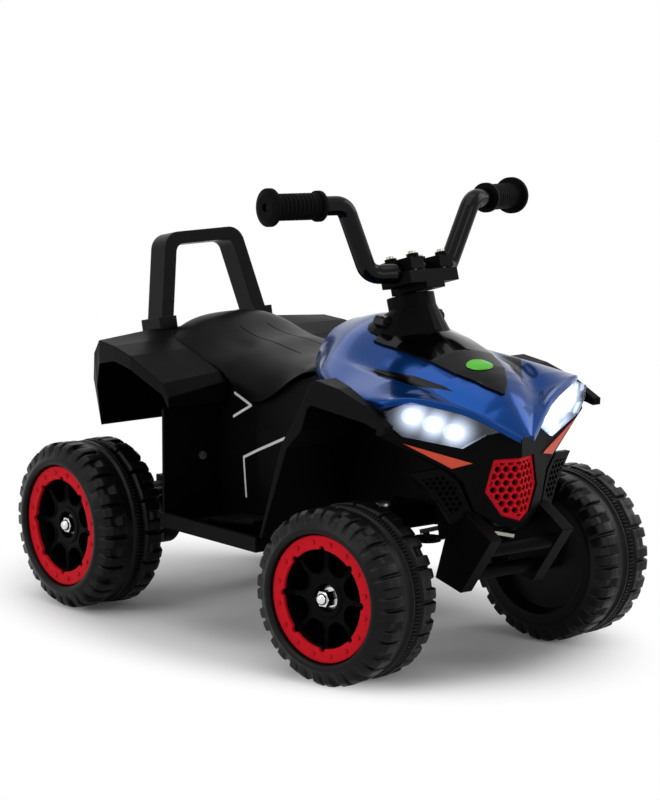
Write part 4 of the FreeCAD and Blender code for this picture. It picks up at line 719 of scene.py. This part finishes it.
class QUAD_OT_hood(bpy.types.Operator):
    """Lacquered hood with its gloss nose panel and domed badge"""
    bl_idname = "quad.hood"
    bl_label = "Build hood"

    def execute(self, context):
        settings = context.scene.quad_hood
        skin = hood_grid(settings)
        whole = with_rear_wall(skin)
        hood = make_shell("hood_skin", "hood", whole, settings.wall, column_gap(whole) > settings.column_hole)
        dress(hood, "chassis", "blue_hood_plastic", "hood")
        panel = panel_grid(settings, skin)
        panel_wall, badge_wall = settings.panel_rise * 0.9, settings.badge_rise * 0.5
        gloss = make_shell("nose_panel_skin", "nose_panel", panel, panel_wall,
                           column_gap(panel) > settings.panel_hole)
        dress(gloss, "chassis", "gloss_black_plastic", "nose_panel")
        dome = badge_grid(settings, skin)
        badge = make_shell("badge_dome", "hood_badge", dome, badge_wall)
        dress(badge, "chassis", "green_badge_plastic", "hood_badge")
        return {"FINISHED"}


# Studio: softboxes as name, place, aim, size in metres and share of the key power
SOFTBOXES = (
    ("overhead softbox", (-0.3, -0.2, 2.6), (0, 0, 0.2), (2.4, 2.4), 1.0),
    ("left softbox", (-2.6, 0.2, 1.3), (0, 0, 0.25), (1.6, 1.6), 0.7),
    ("front softbox", (0.4, -2.8, 1.2), (0, 0, 0.25), (1.4, 1.4), 0.45),
    ("back softbox", (0.5, 2.5, 2.0), (0, 0, 0.3), (2.2, 0.9), 0.16),
    ("right softbox", (2.4, -0.6, 1.4), (0, 0, 0.25), (1.2, 1.6), 0.5))
CAMERA_PLACE = (-2.9109, -3.7990, 1.0988)
CAMERA_AIM = (0.0070, 0.0170, 0.2639)
# Middle and half axes of the oval in which the floor keeps its shadow
SHADOW_MIDDLE = (0.0, 0.06, 0.0)
SHADOW_REACH = (0.28, 0.45, 1.0)
WHITE = (1.0, 1.0, 1.0, 1.0)


class StageSettings(bpy.types.PropertyGroup):
    """Floor, lights and lens of the studio"""
    floor_size: bpy.props.FloatProperty(
        name="Floor", description="Half width of the floor", default=6.0, unit="LENGTH")
    key: bpy.props.FloatProperty(
        name="Key power", description="Power of the large overhead softbox", default=30.0, unit="POWER")
    fill: bpy.props.FloatProperty(
        name="Fill", description="Strength of the even light from all round", default=0.26)
    lens: bpy.props.FloatProperty(
        name="Lens", description="Focal length in millimetres", default=186.2, unit="CAMERA")


def aim(obj, target):
    """Turns a lamp or camera, which look along -Z, toward a point."""
    obj.rotation_euler = (Vector(target) - obj.location).to_track_quat("-Z", "Y").to_euler()


def area_light(name, place, target, size, power):
    """Softbox aimed at a point."""
    light = bpy.data.lights.new(name, "AREA")
    light.shape = "RECTANGLE"
    light.size, light.size_y = size
    light.energy = power
    obj = bpy.data.objects.new(name, light)
    bpy.context.scene.collection.objects.link(obj)
    obj.location = place
    aim(obj, target)


def seen_rays(tree):
    """1 for camera, mirror and see-through rays, which meet the white background; 0 for all others."""
    rays = add(tree, "ShaderNodeLightPath").outputs
    mirrored = add(tree, "ShaderNodeMath", {0: rays["Is Glossy Ray"], 1: rays["Is Transmission Ray"]}, 0,
                   operation="MAXIMUM")
    return add(tree, "ShaderNodeMath", {0: rays["Is Camera Ray"], 1: mirrored}, 0, operation="MAXIMUM")


def studio_floor():
    """White paper sweep: holds the soft shadow near the object and burns out to white further off."""
    material, tree, coords = new_material("white paper sweep")
    fibre_mm, lift, burn_from, burn_to = 3.0, 0.03, 0.78, 1.2
    fibre = add(tree, "ShaderNodeTexNoise", {"Vector": coords, "Scale": MM / fibre_mm, "Detail": 2.0}, "Fac")
    tone = add(tree, "ShaderNodeMix", {0: fibre, 6: (0.86, 0.86, 0.86, 1.0), 7: (0.88, 0.88, 0.88, 1.0)}, 2,
               data_type="RGBA")
    paper = add(tree, "ShaderNodeBsdfDiffuse", {"Color": tone}, 0)
    glow = add(tree, "ShaderNodeEmission", {"Color": WHITE, "Strength": lift}, 0)
    lifted = add(tree, "ShaderNodeAddShader", {0: paper, 1: glow}, 0)
    off = add(tree, "ShaderNodeVectorMath", {0: coords, 1: SHADOW_MIDDLE}, 0, operation="SUBTRACT")
    shares = add(tree, "ShaderNodeVectorMath", {0: off, 1: SHADOW_REACH}, 0, operation="DIVIDE")
    away = add(tree, "ShaderNodeVectorMath", {0: shares}, "Value", operation="LENGTH")
    burn = add(tree, "ShaderNodeMapRange", {"Value": away, "From Min": burn_from, "From Max": burn_to},
               "Result", interpolation_type="SMOOTHSTEP")
    white = add(tree, "ShaderNodeEmission", {"Color": WHITE, "Strength": 1.0}, 0)
    seen = add(tree, "ShaderNodeMixShader", {0: burn, 1: lifted, 2: white}, 0)
    both = add(tree, "ShaderNodeMixShader", {0: seen_rays(tree), 1: paper, 2: seen}, 0)
    add(tree, "ShaderNodeOutputMaterial", {"Surface": both})
    return material


def white_surround(strength):
    """World that lights the object evenly and shows as plain white."""
    world = bpy.data.worlds.new("white surround")
    world.use_nodes = True
    tree = world.node_tree
    tree.nodes.clear()
    fill = add(tree, "ShaderNodeBackground", {"Color": WHITE, "Strength": strength}, 0)
    white = add(tree, "ShaderNodeBackground", {"Color": WHITE, "Strength": 1.0}, 0)
    both = add(tree, "ShaderNodeMixShader", {0: seen_rays(tree), 1: fill, 2: white}, 0)
    add(tree, "ShaderNodeOutputWorld", {"Surface": both})
    return world


class QUAD_OT_stage(bpy.types.Operator):
    """White studio with a floor, soft lights and the camera of the photograph"""
    bl_idname = "quad.stage"
    bl_label = "Build stage"

    def execute(self, context):
        scene = context.scene
        settings = scene.quad_stage
        half = settings.floor_size
        corners = np.array([[-half, -half, 0], [half, -half, 0], [half, half, 0], [-half, half, 0]])
        floor = make_object("floor", corners, np.array([[0, 1, 2, 3]]))
        floor.data.materials.append(studio_floor())
        for name, place, target, size, share in SOFTBOXES:
            area_light(name, place, target, size, settings.key * share)
        scene.world = white_surround(settings.fill)
        camera = bpy.data.objects.new("camera", bpy.data.cameras.new("camera"))
        scene.collection.objects.link(camera)
        camera.data.sensor_fit = "VERTICAL"
        camera.data.sensor_height = 36.0
        camera.data.lens = settings.lens
        camera.location = CAMERA_PLACE
        aim(camera, CAMERA_AIM)
        scene.camera = camera
        scene.view_settings.view_transform = "Standard"
        return {"FINISHED"}


class QUAD_PT_panel(bpy.types.Panel):
    """Sidebar panel with the builders of the quad bike"""
    bl_label = "Quad bike"
    bl_idname = "QUAD_PT_panel"
    bl_space_type = "VIEW_3D"
    bl_region_type = "UI"
    bl_category = "Quad bike"

    def draw(self, context):
        for operator in OPERATORS:
            self.layout.operator(operator.bl_idname)


SETTINGS = {"quad_finishes": FinishSettings, "quad_tyres": TyreSettings, "quad_spokes": SpokeSettings,
            "quad_hood": HoodSettings, "quad_stage": StageSettings}
OPERATORS = (QUAD_OT_finishes, QUAD_OT_tyres, QUAD_OT_spokes, QUAD_OT_hood, QUAD_OT_stage)


def register():
    for cls in (*SETTINGS.values(), *OPERATORS, QUAD_PT_panel):
        bpy.utils.register_class(cls)
    for name, cls in SETTINGS.items():
        setattr(bpy.types.Scene, name, bpy.props.PointerProperty(type=cls))


def unregister():
    for name in SETTINGS:
        delattr(bpy.types.Scene, name)
    for cls in (QUAD_PT_panel, *reversed(OPERATORS), *reversed(list(SETTINGS.values()))):
        bpy.utils.unregister_class(cls)


def main():
    register()
    bpy.ops.quad.finishes()
    bpy.ops.quad.tyres()
    bpy.ops.quad.spokes()
    bpy.ops.quad.hood()
    bpy.ops.quad.stage()


if __name__ == "__main__":
    main()
